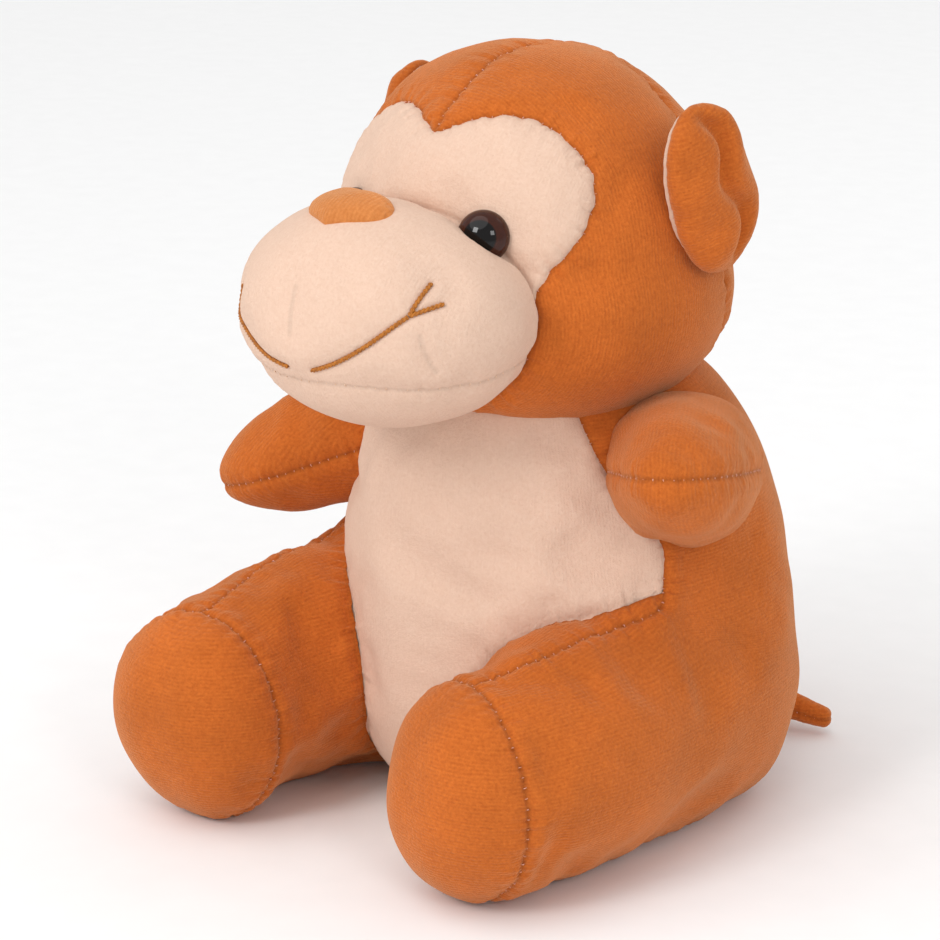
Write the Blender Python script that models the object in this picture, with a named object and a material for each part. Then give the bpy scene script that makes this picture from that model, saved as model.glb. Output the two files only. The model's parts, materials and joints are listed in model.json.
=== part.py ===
"""Seated stuffed monkey: cut-and-sewn plush panels over fibre filling.

Axes: the monkey faces -Y, its left side is +X, up is +Z, and it sits on z = 0.
All the dimensions below are millimetres; meshes are written in metres.
"""

import math

import bmesh
import bpy
import numpy as np
from mathutils import Matrix, Vector

for old in list(bpy.data.objects):
    bpy.data.objects.remove(old, do_unlink=True)

# ---- cloth and clearances -------------------------------------------------
CLOTH = 1.4  # plush backing and pile, pressed
GAP = 0.3  # between pieces that touch
EASE = 0.9  # more room between a panel and its filling
SLACK = 1.0  # round a limb, through its whole range
FACET_SHARE = 0.005  # more clearance for flat facets, as a share of a round piece's width

# ---- head -----------------------------------------------------------------
HEAD_GAP_SHARE = 0.0026  # half the gap between its panels, as a share of its half width
HEAD_WIDTH = 119.0
HEAD_DEPTH = 118.0
HEAD_HEIGHT = 117.0
HEAD_CENTRE = (0.0, -4.0, 186.0)
CHEEK_FULLNESS = 0.36  # how far the lower half swells beyond the ellipsoid
BACK_SEAM_DEG = 117.0  # from the face axis, at the side of the head
BACK_SEAM_DROP_DEG = 14.0  # further back underneath

# ---- muzzle ---------------------------------------------------------------
MUZZLE_WIDTH = 92.0
MUZZLE_DEPTH = 84.0
MUZZLE_HEIGHT = 66.0
MUZZLE_FROM_HEAD = (0.0, -66.0, -12.0)  # its centre from the head's
CHIN_SEAM_DROP = 0.35  # below the muzzle's middle, as a share of its half height
MUZZLE_REAR_SLOPE = 0.16  # how far its top falls away towards the eyes
NOSE_WIDTH = 28.0
NOSE_DEPTH = 15.0
MOUTH_THREAD_R = 0.9
SMILE_LOW = -0.31  # the smile's height in its middle, in half heights of the muzzle
SMILE_BEND = 0.95
SMILE_RISE = 0.10

# ---- eyes -----------------------------------------------------------------
EYE_R = 8.0
EYE_HEIGHT = 5.2
EYE_AIM = (24.5, -51.5, 10.5)  # from the head's centre, for the left eye
SHANK_R = 2.0
WASHER_R = 6.0

# ---- ears -----------------------------------------------------------------
EAR_HEIGHT = 54.0
EAR_WIDTH = 32.0
EAR_THICK = 16.0
EAR_LEFT_AIM = (64.0, 2.0, 21.0)  # from the head's centre
EAR_RIGHT_AIM = (-60.0, 21.0, 15.0)  # it lies lower than the left
EAR_STAND_SHARE = 0.091
EAR_STAND_OFF = HEAD_WIDTH * EAR_STAND_SHARE  # of the ear's centre from the head
EAR_LEFT_LEAN_DEG = 24.0  # top forward
EAR_RIGHT_LEAN_DEG = 2.0
EAR_LEFT_FACE = (0.95, -0.12, 0.15)  # the orange back of the ear faces outwards
EAR_RIGHT_FACE = (-0.95, 0.02, 0.15)

# ---- torso ----------------------------------------------------------------
TORSO_WIDTH = 143.0
TORSO_DEPTH = 143.0
TORSO_HEIGHT = 146.0
TORSO_Y = 15.0
SEAT_FLAT_R = 40.0
BELLY_HALF_DEG = 62.0  # half the belly panel, round the body, at the hips
BELLY_NECK_DEG = 43.0

# ---- neck -----------------------------------------------------------------
NECK_PIVOT = (0.0, 4.0, 137.0)
NECK_BALL_R = 23.5
NECK_THREAD_R = 0.9

# ---- arms -----------------------------------------------------------------
ARM_WIDTH = 49.0
ARM_TALL = 45.0
ARM_LENGTH = 62.0  # shoulder centre to the paw's tip
ARM_ROOT = 21.0  # shoulder centre to the root, inside the armhole
SHOULDER_SHARE = 0.462
SHOULDER = (HEAD_WIDTH * SHOULDER_SHARE, 4.0, 116.5)  # clear of the cheeks
ARM_LEFT_AIM = (36.0, -42.0, 18.0)
ARM_RIGHT_AIM = (-47.0, -43.0, -25.0)

# ---- legs -----------------------------------------------------------------
LEG_WIDTH = 62.0
LEG_HEIGHT = 68.0
HIP = (43.5, 17.0)
FOOT_LEFT = (45.0, -80.0)  # centre of the sole seam's plane
FOOT_RIGHT = (-64.0, -85.0)
TOE_IN_LEFT_DEG = 17.0  # the legs bow, so the soles turn inwards
TOE_IN_RIGHT_DEG = 7.0
FOOT_DOME = 0.9  # the foot's end dome against a half-round one
SOLE_DEG = 80.0  # sole seam, from the foot's tip

# ---- tail -----------------------------------------------------------------
TAIL_ROOT = (0.0, 85.0, 15.0)
TAIL_TIP = (50.0, 95.0, 6.0)
TAIL_ROOT_R = 9.0
TAIL_TIP_R = 3.6

# ---- how far each limb moves, degrees -------------------------------------
TURN = (-15.0, 15.0)
NOD = (-6.0, 6.0)
ARM_LEFT_LIFT = (-22.0, 8.0)  # its top lies close under the cheek
ARM_RIGHT_LIFT = (-2.0, 30.0)
LEG_LIFT = (-6.0, 10.0)
TAIL_SWING = (-6.0, 60.0)

ORANGE = (0.56, 0.15, 0.035)
CREAM = (0.80, 0.56, 0.42)
GREY = (0.75, 0.75, 0.73)
BLACK = (0.01, 0.006, 0.004)
BROWN = (0.38, 0.14, 0.03)
WHITE = (0.85, 0.84, 0.8)


def material(name, colour, roughness):
    mat = bpy.data.materials.new(name)
    mat.use_nodes = True
    shader = mat.node_tree.nodes["Principled BSDF"]
    shader.inputs["Base Color"].default_value = (*colour, 1)
    shader.inputs["Roughness"].default_value = roughness
    return mat


def add_object(name, bm, colour, roughness=0.9, smooth=True):
    bmesh.ops.remove_doubles(bm, verts=bm.verts, dist=2e-6)
    bmesh.ops.dissolve_degenerate(bm, edges=bm.edges, dist=2e-6)
    wires = [edge for edge in bm.edges if not edge.link_faces]
    bmesh.ops.delete(bm, geom=wires, context="EDGES")
    bmesh.ops.recalc_face_normals(bm, faces=bm.faces)
    if bm.calc_volume(signed=True) < 0:
        bmesh.ops.reverse_faces(bm, faces=bm.faces)
    mesh = bpy.data.meshes.new(name)
    bm.to_mesh(mesh)
    bm.free()
    for face in mesh.polygons:
        face.use_smooth = smooth
    obj = bpy.data.objects.new(name, mesh)
    bpy.context.scene.collection.objects.link(obj)
    if colour is not None:
        mesh.materials.append(material(name, colour, roughness))
    return obj


def grid_faces(bm, grid, wrap):
    rows, cols = len(grid), len(grid[0])
    for i in range(rows - 1):
        for j in range(cols if wrap else cols - 1):
            k = (j + 1) % cols
            bm.faces.new((grid[i][j], grid[i][k], grid[i + 1][k], grid[i + 1][j]))


def verts_of(bm, points):
    return [[bm.verts.new(Vector(p) * 0.001) for p in row] for row in points]


def unit(v):
    v = np.asarray(v, float)
    return v / np.maximum(np.linalg.norm(v, axis=-1, keepdims=True), 1e-12)


def on_form(form, a, b, inset):
    """Points of a form at parameters a, b, moved inwards along its normal."""
    step = 1e-3
    low, high = form.limits
    aa = np.clip(a, low + 2e-3, high - 2e-3)
    da = form(aa + step, b) - form(aa - step, b)
    db = form(aa, b + step) - form(aa, b - step)
    normal = unit(np.cross(da, db))
    outward = form(aa, b) - form.core(aa, b)
    flip = np.sign((normal * outward).sum(-1, keepdims=True))
    points = form(a, b) - normal * flip * inset
    for row, at in zip(points, a) if np.ndim(a) == 2 else ():
        if np.ptp(at) == 0 and at[0] in (low, high):
            row[:] = row.mean(0)
    return points


class Ball:
    """An ellipsoid round an axis: a runs 0..pi from the axis, b round it."""

    limits = (0.0, math.pi)

    def __init__(self, centre, radii, fullness=0.0, axes=None, slope=0.0):
        self.slope = slope
        self.centre = np.array(centre, float)
        self.radii = np.array(radii, float)
        self.fullness = fullness
        self.axes = axes

    def __call__(self, a, b):
        d = np.stack(
            [np.sin(a) * np.cos(b), -np.cos(a) + 0 * b, np.sin(a) * np.sin(b)], -1
        )
        swell = 1 + self.fullness * np.maximum(0, -d[..., 2:]) * (
            1 - d[..., 2:] ** 2
        ) ** 1.5
        swell = swell - self.slope * np.maximum(0, d[..., 2:]) * np.maximum(0, d[..., 1:2] + 0.3)
        rel = d * self.radii * swell
        if self.axes is not None:
            rel = rel @ self.axes
        return self.centre + rel

    def core(self, a, b):
        return self.centre


class Torso:
    """Pear-shaped body: a runs 0..1 from the seat to the neck, b round it from the front."""

    limits = (0.0, 1.0)
    # height, radius and setback, each as a share of the whole
    heights = np.array([0, 0, 0.045, 0.16, 0.36, 0.56, 0.73, 0.86, 0.95, 1.0, 1.0])
    spreads = np.array([0, -1, 0.80, 0.95, 1.0, 0.975, 0.90, 0.79, 0.65, 0.45, 0])
    setbacks = np.array([1, 1, 1, 1, 1, 0.95, 0.85, 0.7, 0.55, 0.4, 0.4])

    def __init__(self):
        self.spread = self.spreads.copy()
        self.spread[1] = SEAT_FLAT_R / (TORSO_WIDTH / 2)

    def at(self, a):
        n = len(self.heights) - 1
        x = np.clip(np.asarray(a, float), 0, 1) * n
        i = np.clip(np.floor(x).astype(int), 0, n - 1)
        f = x - i
        out = []
        for y in (self.heights, self.spread, self.setbacks):
            m = np.gradient(y)
            flat = np.diff(y) == 0
            m[:-1][flat] = 0
            m[1:][flat] = 0
            m[0] = y[1] - y[0]
            m[-1] = y[-1] - y[-2]
            h = (
                (2 * f**3 - 3 * f**2 + 1) * y[i]
                + (f**3 - 2 * f**2 + f) * m[i]
                + (-2 * f**3 + 3 * f**2) * y[i + 1]
                + (f**3 - f**2) * m[i + 1]
            )
            out.append(h)
        return out

    def __call__(self, a, b):
        height, spread, setback = self.at(a)
        return np.stack(
            [
                spread * TORSO_WIDTH / 2 * np.sin(b),
                TORSO_Y * setback - spread * TORSO_DEPTH / 2 * np.cos(b),
                height * TORSO_HEIGHT + 0 * b,
            ],
            -1,
        )

    def core(self, a, b):
        return np.array([0, TORSO_Y * 0.8, TORSO_HEIGHT * 0.45])


class Limb:
    """Tapered capsule: a runs 0..1 over the tip, 1..2 along it, 2..3 over the root."""

    limits = (0.0, 3.0)

    def __init__(self, root, tip, root_r, tip_r, tall=1.0, dome=1.0, up=(0, 0, 1)):
        self.root, self.tip = np.array(root, float), np.array(tip, float)
        self.root_r, self.tip_r, self.tall, self.dome = root_r, tip_r, tall, dome
        span = self.tip - self.root
        self.length = float(np.linalg.norm(span))
        self.axis = span / self.length
        self.side = unit(np.cross(self.axis, np.array(up, float)))
        self.up = np.cross(self.side, self.axis)
        self.turn = math.pi / 2 - math.asin((root_r - tip_r) / self.length)

    def __call__(self, a, b):
        a = np.asarray(a, float) + 0 * b
        b = b + 0 * a
        tip_angle = np.clip(a, 0, 1) * self.turn
        root_angle = self.turn + np.clip(a - 2, 0, 1) * (math.pi - self.turn)
        along = np.clip(a - 1, 0, 1)
        tip_x = self.length + self.tip_r * np.cos(tip_angle) * self.dome
        tip_rad = self.tip_r * np.sin(tip_angle)
        root_x = self.root_r * np.cos(root_angle)
        root_rad = self.root_r * np.sin(root_angle)
        x = tip_x * (1 - along) + root_x * along
        r = tip_rad * (1 - along) + root_rad * along
        return (
            self.root
            + x[..., None] * self.axis
            + (r * np.cos(b))[..., None] * self.side
            + (r * np.sin(b) * self.tall)[..., None] * self.up
        )

    def core(self, a, b):
        a = np.asarray(a, float) + 0 * b
        along = np.clip(a - 1, 0.15, 0.85)
        return self.root + ((1 - along) * self.length)[..., None] * self.axis


def lattice(a_low, a_high, b_low, b_high, rows, cols, wrap=False):
    """Parameters of a patch; its a limits may be functions of b, and its b limits of a."""
    s = np.linspace(0, 1, rows + 1)[:, None]
    t = np.linspace(0, 1, cols + 1)[None, :-1] if wrap else np.linspace(0, 1, cols + 1)[None, :]
    if callable(b_low):
        a = a_low + (a_high - a_low) * s
        b = b_low(a) + (b_high(a) - b_low(a)) * t
        return a + 0 * t, b
    b = b_low + (b_high - b_low) * t + 0 * s
    low = a_low(b) if callable(a_low) else a_low
    high = a_high(b) if callable(a_high) else a_high
    return low + (high - low) * s + 0 * b, b


def panel(name, form, colour, a, b, wrap=False, thick=CLOTH, lift=0.0):
    """A sewn panel: the patch of a form at a, b, with the cloth's thickness inside it."""
    bm = bmesh.new()
    outer = verts_of(bm, on_form(form, a, b, -lift))
    inner = verts_of(bm, on_form(form, a, b, thick - lift))
    grid_faces(bm, outer, wrap)
    grid_faces(bm, inner[::-1], wrap)
    rows, cols = len(outer), len(outer[0])
    for i in (0, rows - 1):
        for j in range(cols if wrap else cols - 1):
            k = (j + 1) % cols
            bm.faces.new((outer[i][j], inner[i][j], inner[i][k], outer[i][k]))
    if not wrap:
        for j in (0, cols - 1):
            for i in range(rows - 1):
                bm.faces.new((outer[i][j], outer[i + 1][j], inner[i + 1][j], inner[i][j]))
    return add_object(name, bm, colour)


def filling(name, form, rows, cols, inset=CLOTH + GAP + EASE, colour=WHITE):
    """Fibre filling: the whole form, inside its cloth."""
    a, b = lattice(*form.limits, 0, 2 * math.pi, rows, cols, wrap=True)
    bm = bmesh.new()
    grid_faces(bm, verts_of(bm, on_form(form, a, b, inset)), True)
    return add_object(name, bm, colour)


def hull(name, points):
    """A hidden cutter: the convex hull of the points."""
    bm = bmesh.new()
    for p in np.asarray(points).reshape(-1, 3):
        bm.verts.new(Vector(p) * 0.001)
    bmesh.ops.remove_doubles(bm, verts=bm.verts, dist=1.5e-3)
    made = bmesh.ops.convex_hull(bm, input=bm.verts)
    loose = {v for v in made["geom_interior"] + made["geom_unused"] if isinstance(v, bmesh.types.BMVert)}
    bmesh.ops.delete(bm, geom=list(loose), context="VERTS")
    obj = add_object(name, bm, None)
    obj.hide_render = True
    obj.display_type = "WIRE"
    return obj


def cut(obj, cutters):
    for cutter in cutters:
        modifier = obj.modifiers.new(cutter.name, "BOOLEAN")
        modifier.operation = "DIFFERENCE"
        modifier.solver = "EXACT"
        modifier.object = cutter


def turned(points, pivot, axis, degrees):
    turn = np.array(Matrix.Rotation(math.radians(degrees), 3, Vector(axis)))
    return (np.asarray(points) - pivot) @ turn.T + pivot


def swept(form, rows, cols, pivot, axis, limits, steps, grow=SLACK):
    """A form's points in every pose of its joint, grown by the slack."""
    a, b = lattice(*form.limits, 0, 2 * math.pi, rows, cols, wrap=True)
    rest = on_form(form, a, b, -grow).reshape(-1, 3)
    return np.concatenate(
        [turned(rest, pivot, axis, d) for d in np.linspace(*limits, steps)]
    )


def parent_all(name, pivot, objects):
    empty = bpy.data.objects.new(name, None)
    empty.location = Vector(pivot) * 0.001
    bpy.context.scene.collection.objects.link(empty)
    bpy.context.view_layer.update()
    for obj in objects:
        obj.parent = empty
        obj.matrix_parent_inverse = empty.matrix_world.inverted()


deg = math.radians
pi = math.pi
head_centre = np.array(HEAD_CENTRE)
head = Ball(HEAD_CENTRE, (HEAD_WIDTH / 2, HEAD_DEPTH / 2, HEAD_HEIGHT / 2), CHEEK_FULLNESS)
muzzle_centre = head_centre + MUZZLE_FROM_HEAD
muzzle_radii = (MUZZLE_WIDTH / 2, MUZZLE_DEPTH / 2, MUZZLE_HEIGHT / 2)
muzzle = Ball(muzzle_centre, muzzle_radii, slope=MUZZLE_REAR_SLOPE)
torso = Torso()


# ---- head skin ------------------------------------------------------------
def mask_edge(b):
    """The heart-shaped edge of the face: its angle from the face axis, going round."""
    up = np.degrees(np.arcsin(np.clip(np.sin(b), -1, 1)))
    return np.radians(
        np.interp(
            up,
            (-90, -30, -8, 0, 14, 30, 45, 60, 72, 82, 90),
            (46, 43, 41, 44, 55, 63, 62, 57.5, 50.5, 43.5, 40),
        )
    )


def back_edge(b):
    return np.radians(BACK_SEAM_DEG + BACK_SEAM_DROP_DEG * np.maximum(0, -np.sin(b)) ** 2)


half_gap = HEAD_GAP_SHARE * HEAD_WIDTH / min(HEAD_WIDTH, HEAD_DEPTH, HEAD_HEIGHT)  # an angle
a, b = lattice(0.0, lambda b: mask_edge(b) - half_gap, pi / 2, pi * 5 / 2, 6, 32, wrap=True)
face_mask = panel("face_mask", head, CREAM, a, b, wrap=True)
head_sides = []
for side, low in (("left", -pi / 2), ("right", pi / 2)):
    a, b = lattice(
        lambda b: mask_edge(b) + half_gap,
        lambda b: back_edge(b) - half_gap,
        low + half_gap,
        low + pi - half_gap,
        8,
        16,
    )
    head_sides.append(panel("head_side_" + side, head, ORANGE, a, b))
a, b = lattice(lambda b: back_edge(b) + half_gap, pi, 0, 2 * pi, 5, 24, wrap=True)
head_back = panel("head_back", head, ORANGE, a, b, wrap=True)
head_fill = filling("head_filling", head, 12, 24)

# ---- neck -----------------------------------------------------------------
neck_pivot = np.array(NECK_PIVOT)
neck_ball = Ball(NECK_PIVOT, (NECK_BALL_R,) * 3)
neck_fill = filling("neck_filling", neck_ball, 8, 16, inset=0)
thread_path = NECK_BALL_R + GAP + NECK_THREAD_R
socket_r = thread_path + NECK_THREAD_R + SLACK
bm = bmesh.new()
ring = [
    [
        neck_pivot
        + np.array(
            [
                math.cos(t) * (thread_path + NECK_THREAD_R * math.cos(s)),
                math.sin(t) * (thread_path + NECK_THREAD_R * math.cos(s)),
                NECK_THREAD_R * math.sin(s),
            ]
        )
        for s in np.linspace(0, 2 * pi, 6, endpoint=False)
    ]
    for t in np.linspace(0, 2 * pi, 28, endpoint=False)
]
rows = verts_of(bm, ring)
grid_faces(bm, rows + [rows[0]], True)
neck_thread = add_object("neck_seam_thread", bm, ORANGE)
a, b = lattice(0, pi, 0, 2 * pi, 10, 20, wrap=True)
neck_cutter = hull("neck_socket", Ball(NECK_PIVOT, (socket_r,) * 3)(a, b))

# ---- muzzle ---------------------------------------------------------------
def head_radius_at(points):
    d = unit(points - head_centre)
    swell = 1 + CHEEK_FULLNESS * np.maximum(0, -d[..., 2]) * (1 - d[..., 2] ** 2) ** 1.5
    radii = np.array([HEAD_WIDTH, HEAD_DEPTH, HEAD_HEIGHT]) / 2
    return swell / np.linalg.norm(d / radii, axis=-1)


def muzzle_edge(inset, clear):
    """The angle at which the muzzle, moved in by inset, comes to the head's surface plus clear."""

    def edge(b):
        low, high = np.full(np.shape(b), 0.2), np.full(np.shape(b), 2.9)
        for _ in range(40):
            mid = (low + high) / 2
            p = on_form(muzzle, mid, b, inset)
            outside = np.linalg.norm(p - head_centre, axis=-1) > head_radius_at(p) + clear
            low, high = np.where(outside, mid, low), np.where(outside, high, mid)
        return low

    return edge


edge = muzzle_edge(CLOTH, GAP + MUZZLE_WIDTH * FACET_SHARE)
seam_z = muzzle_centre[2] - CHIN_SEAM_DROP * MUZZLE_HEIGHT / 2


def slab(name, low, high):
    """A hidden cutter: everything round the muzzle between two heights."""
    x, y = MUZZLE_WIDTH, MUZZLE_DEPTH
    corners = [(i * x, j * y, 0) for i in (-1, 1) for j in (-1, 1)]
    return hull(name, [muzzle_centre * (1, 1, 0) + c + (0, 0, h) for c in corners for h in (low, high)])


a, b = lattice(0.0, edge, 0, 2 * pi, 7, 24, wrap=True)
muzzle_upper = panel("muzzle_upper", muzzle, CREAM, a, b, wrap=True)
chin = panel("chin", muzzle, CREAM, a, b, wrap=True)
cut(muzzle_upper, [slab("below_chin_seam", muzzle_centre[2] - MUZZLE_HEIGHT, seam_z + GAP / 2)])
cut(chin, [slab("above_chin_seam", seam_z - GAP / 2, muzzle_centre[2] + MUZZLE_HEIGHT)])
inset = CLOTH + GAP + EASE
back_rows = 4
edge_fill = muzzle_edge(inset, 2 * GAP)
a, b = lattice(0.0, edge_fill, 0, 2 * pi, 8, 24, wrap=True)
front = on_form(muzzle, a, b, inset)
rim = front[-1]
bm = bmesh.new()
rows = verts_of(bm, front)
centre_dir = unit(rim.mean(0) - head_centre)
for t in np.linspace(0, 1, back_rows + 1)[1:]:
    d = unit((1 - t) * unit(rim - head_centre) + t * centre_dir)
    points = head_centre + d * (head_radius_at(head_centre + d) + 2 * GAP)[:, None]
    rows.append(verts_of(bm, [points])[0])
grid_faces(bm, rows, True)
muzzle_fill = add_object("muzzle_filling", bm, WHITE)


def on_muzzle(x, z, lift):
    """The point on the front or top of the muzzle at a given x and height, and its normal."""
    r = np.array([MUZZLE_WIDTH, MUZZLE_DEPTH, MUZZLE_HEIGHT]) / 2
    y = -math.sqrt(max(0.02, 1 - (x / r[0]) ** 2 - (z / r[2]) ** 2)) * r[1]
    p = np.array([x, y, z])
    n = unit(p / r**2)
    return muzzle_centre + p + n * lift, n


# nose: a rounded wedge of cloth sewn on the top of the muzzle
def nose_edge(b):
    """Wide at the back, narrow at the front."""
    across = NOSE_WIDTH / 2 / (MUZZLE_WIDTH / 2)
    along = NOSE_DEPTH / 2 / (MUZZLE_DEPTH / 2)
    reach = 1 / np.sqrt((np.cos(b) / across) ** 2 + (np.sin(b) / along) ** 2)
    return reach * (1 - 0.16 * np.sin(b) * np.abs(np.cos(b)) * 2)


nose_tilt = deg(20)
r_tilt = np.array(Matrix.Rotation(nose_tilt, 3, "X"))


class NoseForm:
    limits = (0.0, pi)

    def __call__(self, a, b):
        d = np.stack([np.sin(a) * np.cos(b), -np.sin(a) * np.sin(b), np.cos(a) + 0 * b], -1) @ r_tilt.T
        return muzzle_centre + d * np.array([MUZZLE_WIDTH, MUZZLE_DEPTH, MUZZLE_HEIGHT]) / 2

    def core(self, a, b):
        return muzzle_centre


a, b = lattice(0.0, nose_edge, 0, 2 * pi, 3, 18, wrap=True)
nose = panel("nose_patch", NoseForm(), ORANGE, a, b, wrap=True, thick=1.2, lift=1.2 + GAP)


def tube(name, path, radius, colour, sides=6):
    path = np.asarray(path, float)
    tangents = unit(np.gradient(path, axis=0))
    bm = bmesh.new()
    rows = []
    for p, t in zip(path, tangents):
        side = unit(np.cross(t, (0.0, 0.3, 1.0)))
        up = np.cross(side, t)
        rows.append(
            verts_of(
                bm,
                [
                    [
                        p + radius * (math.cos(s) * side + math.sin(s) * up)
                        for s in np.linspace(0, 2 * pi, sides, endpoint=False)
                    ]
                ],
            )[0]
        )
    grid_faces(bm, rows, True)
    bm.faces.new(rows[0])
    bm.faces.new(rows[-1])
    return add_object(name, bm, colour, 0.6)


def plug(top, bottom, radius):
    """The outline of a round plug, for a hole."""
    return [(top, 0), (top, radius), (bottom, radius), (bottom, 0)]


mouths = []
for side, sign in (("left", 1), ("right", -1)):
    xs = np.linspace(0.10, 0.70, 12)
    path = [
        on_muzzle(
            sign * x * MUZZLE_WIDTH / 2,
            (SMILE_LOW + SMILE_BEND * x * x + SMILE_RISE * x) * MUZZLE_HEIGHT / 2,
            MOUTH_THREAD_R + GAP,
        )[0]
        for x in xs
    ]
    mouths.append(tube("mouth_stitch_" + side, path, MOUTH_THREAD_R, BROWN))

# ---- eyes -----------------------------------------------------------------
eyes, washers, eye_cutters = [], [], []
for side, sign in (("left", 1), ("right", -1)):
    out = unit(np.array([sign * EYE_AIM[0], EYE_AIM[1], EYE_AIM[2]]))
    spot = head_centre + out * head_radius_at(head_centre + out[None])[0]
    out = unit((spot - head_centre) / np.array([HEAD_WIDTH, HEAD_DEPTH, HEAD_HEIGHT]) ** 2)  # square to the face
    across = unit(np.cross(out, (0, 0, 1)))
    up = np.cross(across, out)

    def lathe(name, profile, colour, roughness, sides=20, hidden=False):
        bm = bmesh.new()
        rows = [
            verts_of(
                bm,
                [
                    [
                        spot + out * h + r * (math.cos(t) * across + math.sin(t) * up)
                        for t in np.linspace(0, 2 * pi, sides, endpoint=False)
                    ]
                ],
            )[0]
            for h, r in profile
        ]
        grid_faces(bm, rows, True)
        obj = add_object(name, bm, colour, roughness)
        if hidden:
            obj.hide_render = True
            obj.display_type = "WIRE"
        return obj

    sag = 0.75  # the dome's rim over the face's own curve
    dome = [(sag + EYE_HEIGHT * math.cos(t), EYE_R * math.sin(t)) for t in np.linspace(0, pi / 2, 6)]
    shank_end = -CLOTH - 5.0
    eyes.append(
        lathe(
            "eye_" + side,
            [
                (sag + EYE_HEIGHT, 0),
                *dome[1:],
                (sag - 0.4, EYE_R - 0.2),
                (sag - 0.4, SHANK_R),
                (shank_end, SHANK_R),
                (shank_end, 0),
            ],
            BLACK,
            0.08,
        )
    )
    back = -CLOTH - 1.2
    washers.append(
        lathe(
            "eye_washer_" + side,
            [
                (back, SHANK_R + GAP),
                (back, WASHER_R),
                (back - 1.6, WASHER_R),
                (back - 1.6, SHANK_R + GAP),
                (back, SHANK_R + GAP),
            ],
            WHITE,
            0.4,
            16,
        )
    )
    eye_cutters.append(
        lathe("eye_hole_" + side, plug(3, -CLOTH - 4, SHANK_R + GAP), None, 1, 16, True)
    )
    eye_cutters.append(
        lathe("eye_pocket_" + side, plug(3, shank_end - 1, WASHER_R + 1), None, 1, 16, True)
    )
    eye_cutters.append(
        lathe("eye_room_" + side, plug(12, -3, EYE_R + GAP + 0.2), None, 1, 20, True)
    )

for piece in (muzzle_upper, muzzle_fill):
    cut(piece, (eye_cutters[2], eye_cutters[5]))
cut(face_mask, (eye_cutters[0], eye_cutters[3]))
cut(head_fill, (eye_cutters[1], eye_cutters[4]))
for obj in (*head_sides, head_back, head_fill):
    cut(obj, (neck_cutter,))

# ---- ears -----------------------------------------------------------------
for side, aim, lean_deg, face in (
    ("left", EAR_LEFT_AIM, EAR_LEFT_LEAN_DEG, EAR_LEFT_FACE),
    ("right", EAR_RIGHT_AIM, EAR_RIGHT_LEAN_DEG, EAR_RIGHT_FACE),
):
    out = unit(aim)
    root = head_centre + out * head_radius_at(head_centre + out[None])[0]
    centre = root + out * EAR_STAND_OFF
    lean = deg(lean_deg)
    tall = unit(np.array([0, -math.sin(lean), math.cos(lean)]))
    face = unit(np.array(face))
    face = unit(face - tall * (face @ tall))
    wide = np.cross(tall, face)
    # local x: width, -y: towards the head (the cream face), z: height
    axes = np.array([wide, face, tall])
    ear = Ball(centre, (EAR_WIDTH / 2, EAR_THICK / 2, EAR_HEIGHT / 2), 0.0, axes)
    g = GAP / 2 / (EAR_THICK / 2)
    a, b = lattice(0.0, pi / 2 - g * 0.5, 0, 2 * pi, 4, 18, wrap=True)
    inner = panel("ear_front_" + side, ear, CREAM, a, b, wrap=True)
    a, b = lattice(pi / 2 + g * 0.5, pi, 0, 2 * pi, 4, 18, wrap=True)
    outer = panel("ear_back_" + side, ear, ORANGE, a, b, wrap=True)
    base = centre - face * EAR_THICK / 2  # where the ear is sewn down
    parent_all("ear_hinge_" + side, base, (inner, outer))

# ---- torso ----------------------------------------------------------------
def belly_edge(a):
    """Half the belly panel, in radians round the body, wider at the hips than at the neck."""
    shares = (0, 0.5, 0.6, 0.7, 0.8, 1.0)
    low, high = BELLY_HALF_DEG, BELLY_NECK_DEG
    return np.radians(np.interp(a, shares, (low, low, 0.84 * low, 1.06 * high, high, high)))


t_gap = GAP / 2 / (TORSO_WIDTH / 2)
a, b = lattice(0.0, 1.0, lambda a: -belly_edge(a) + t_gap, lambda a: belly_edge(a) - t_gap, 10, 10)
belly = panel("belly_panel", torso, CREAM, a, b)
a, b = lattice(0.0, 1.0, lambda a: belly_edge(a) + t_gap, lambda a: 0 * a + pi - t_gap, 10, 9)
side_left = panel("torso_side_left", torso, ORANGE, a, b)
a, b = lattice(0.0, 1.0, lambda a: 0 * a + pi + t_gap, lambda a: 2 * pi - belly_edge(a) - t_gap, 10, 9)
side_right = panel("torso_side_right", torso, ORANGE, a, b)
torso_fill = filling("torso_filling", torso, 10, 22, CLOTH + GAP + EASE + 0.3)

# ---- arms -----------------------------------------------------------------
class Arm:
    """A stuffed arm: half a long ellipsoid, with a short domed root. a runs 0..pi from the paw."""

    limits = (0.0, pi)

    def __init__(self, shoulder, aim):
        self.root = np.array(shoulder, float)
        self.axis = unit(aim)
        self.side = unit(np.cross(self.axis, (0.0, 0.0, 1.0)))
        self.up = np.cross(self.side, self.axis)

    def __call__(self, a, b):
        a, b = a + 0 * b, b + 0 * a
        reach = np.where(a < pi / 2, ARM_LENGTH, ARM_ROOT) * np.cos(a)
        return (
            self.root
            + reach[..., None] * self.axis
            + (np.sin(a) * np.cos(b) * ARM_WIDTH / 2)[..., None] * self.side
            + (np.sin(a) * np.sin(b) * ARM_TALL / 2)[..., None] * self.up
        )

    def core(self, a, b):
        return self.root + self.axis * 2.0


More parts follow.
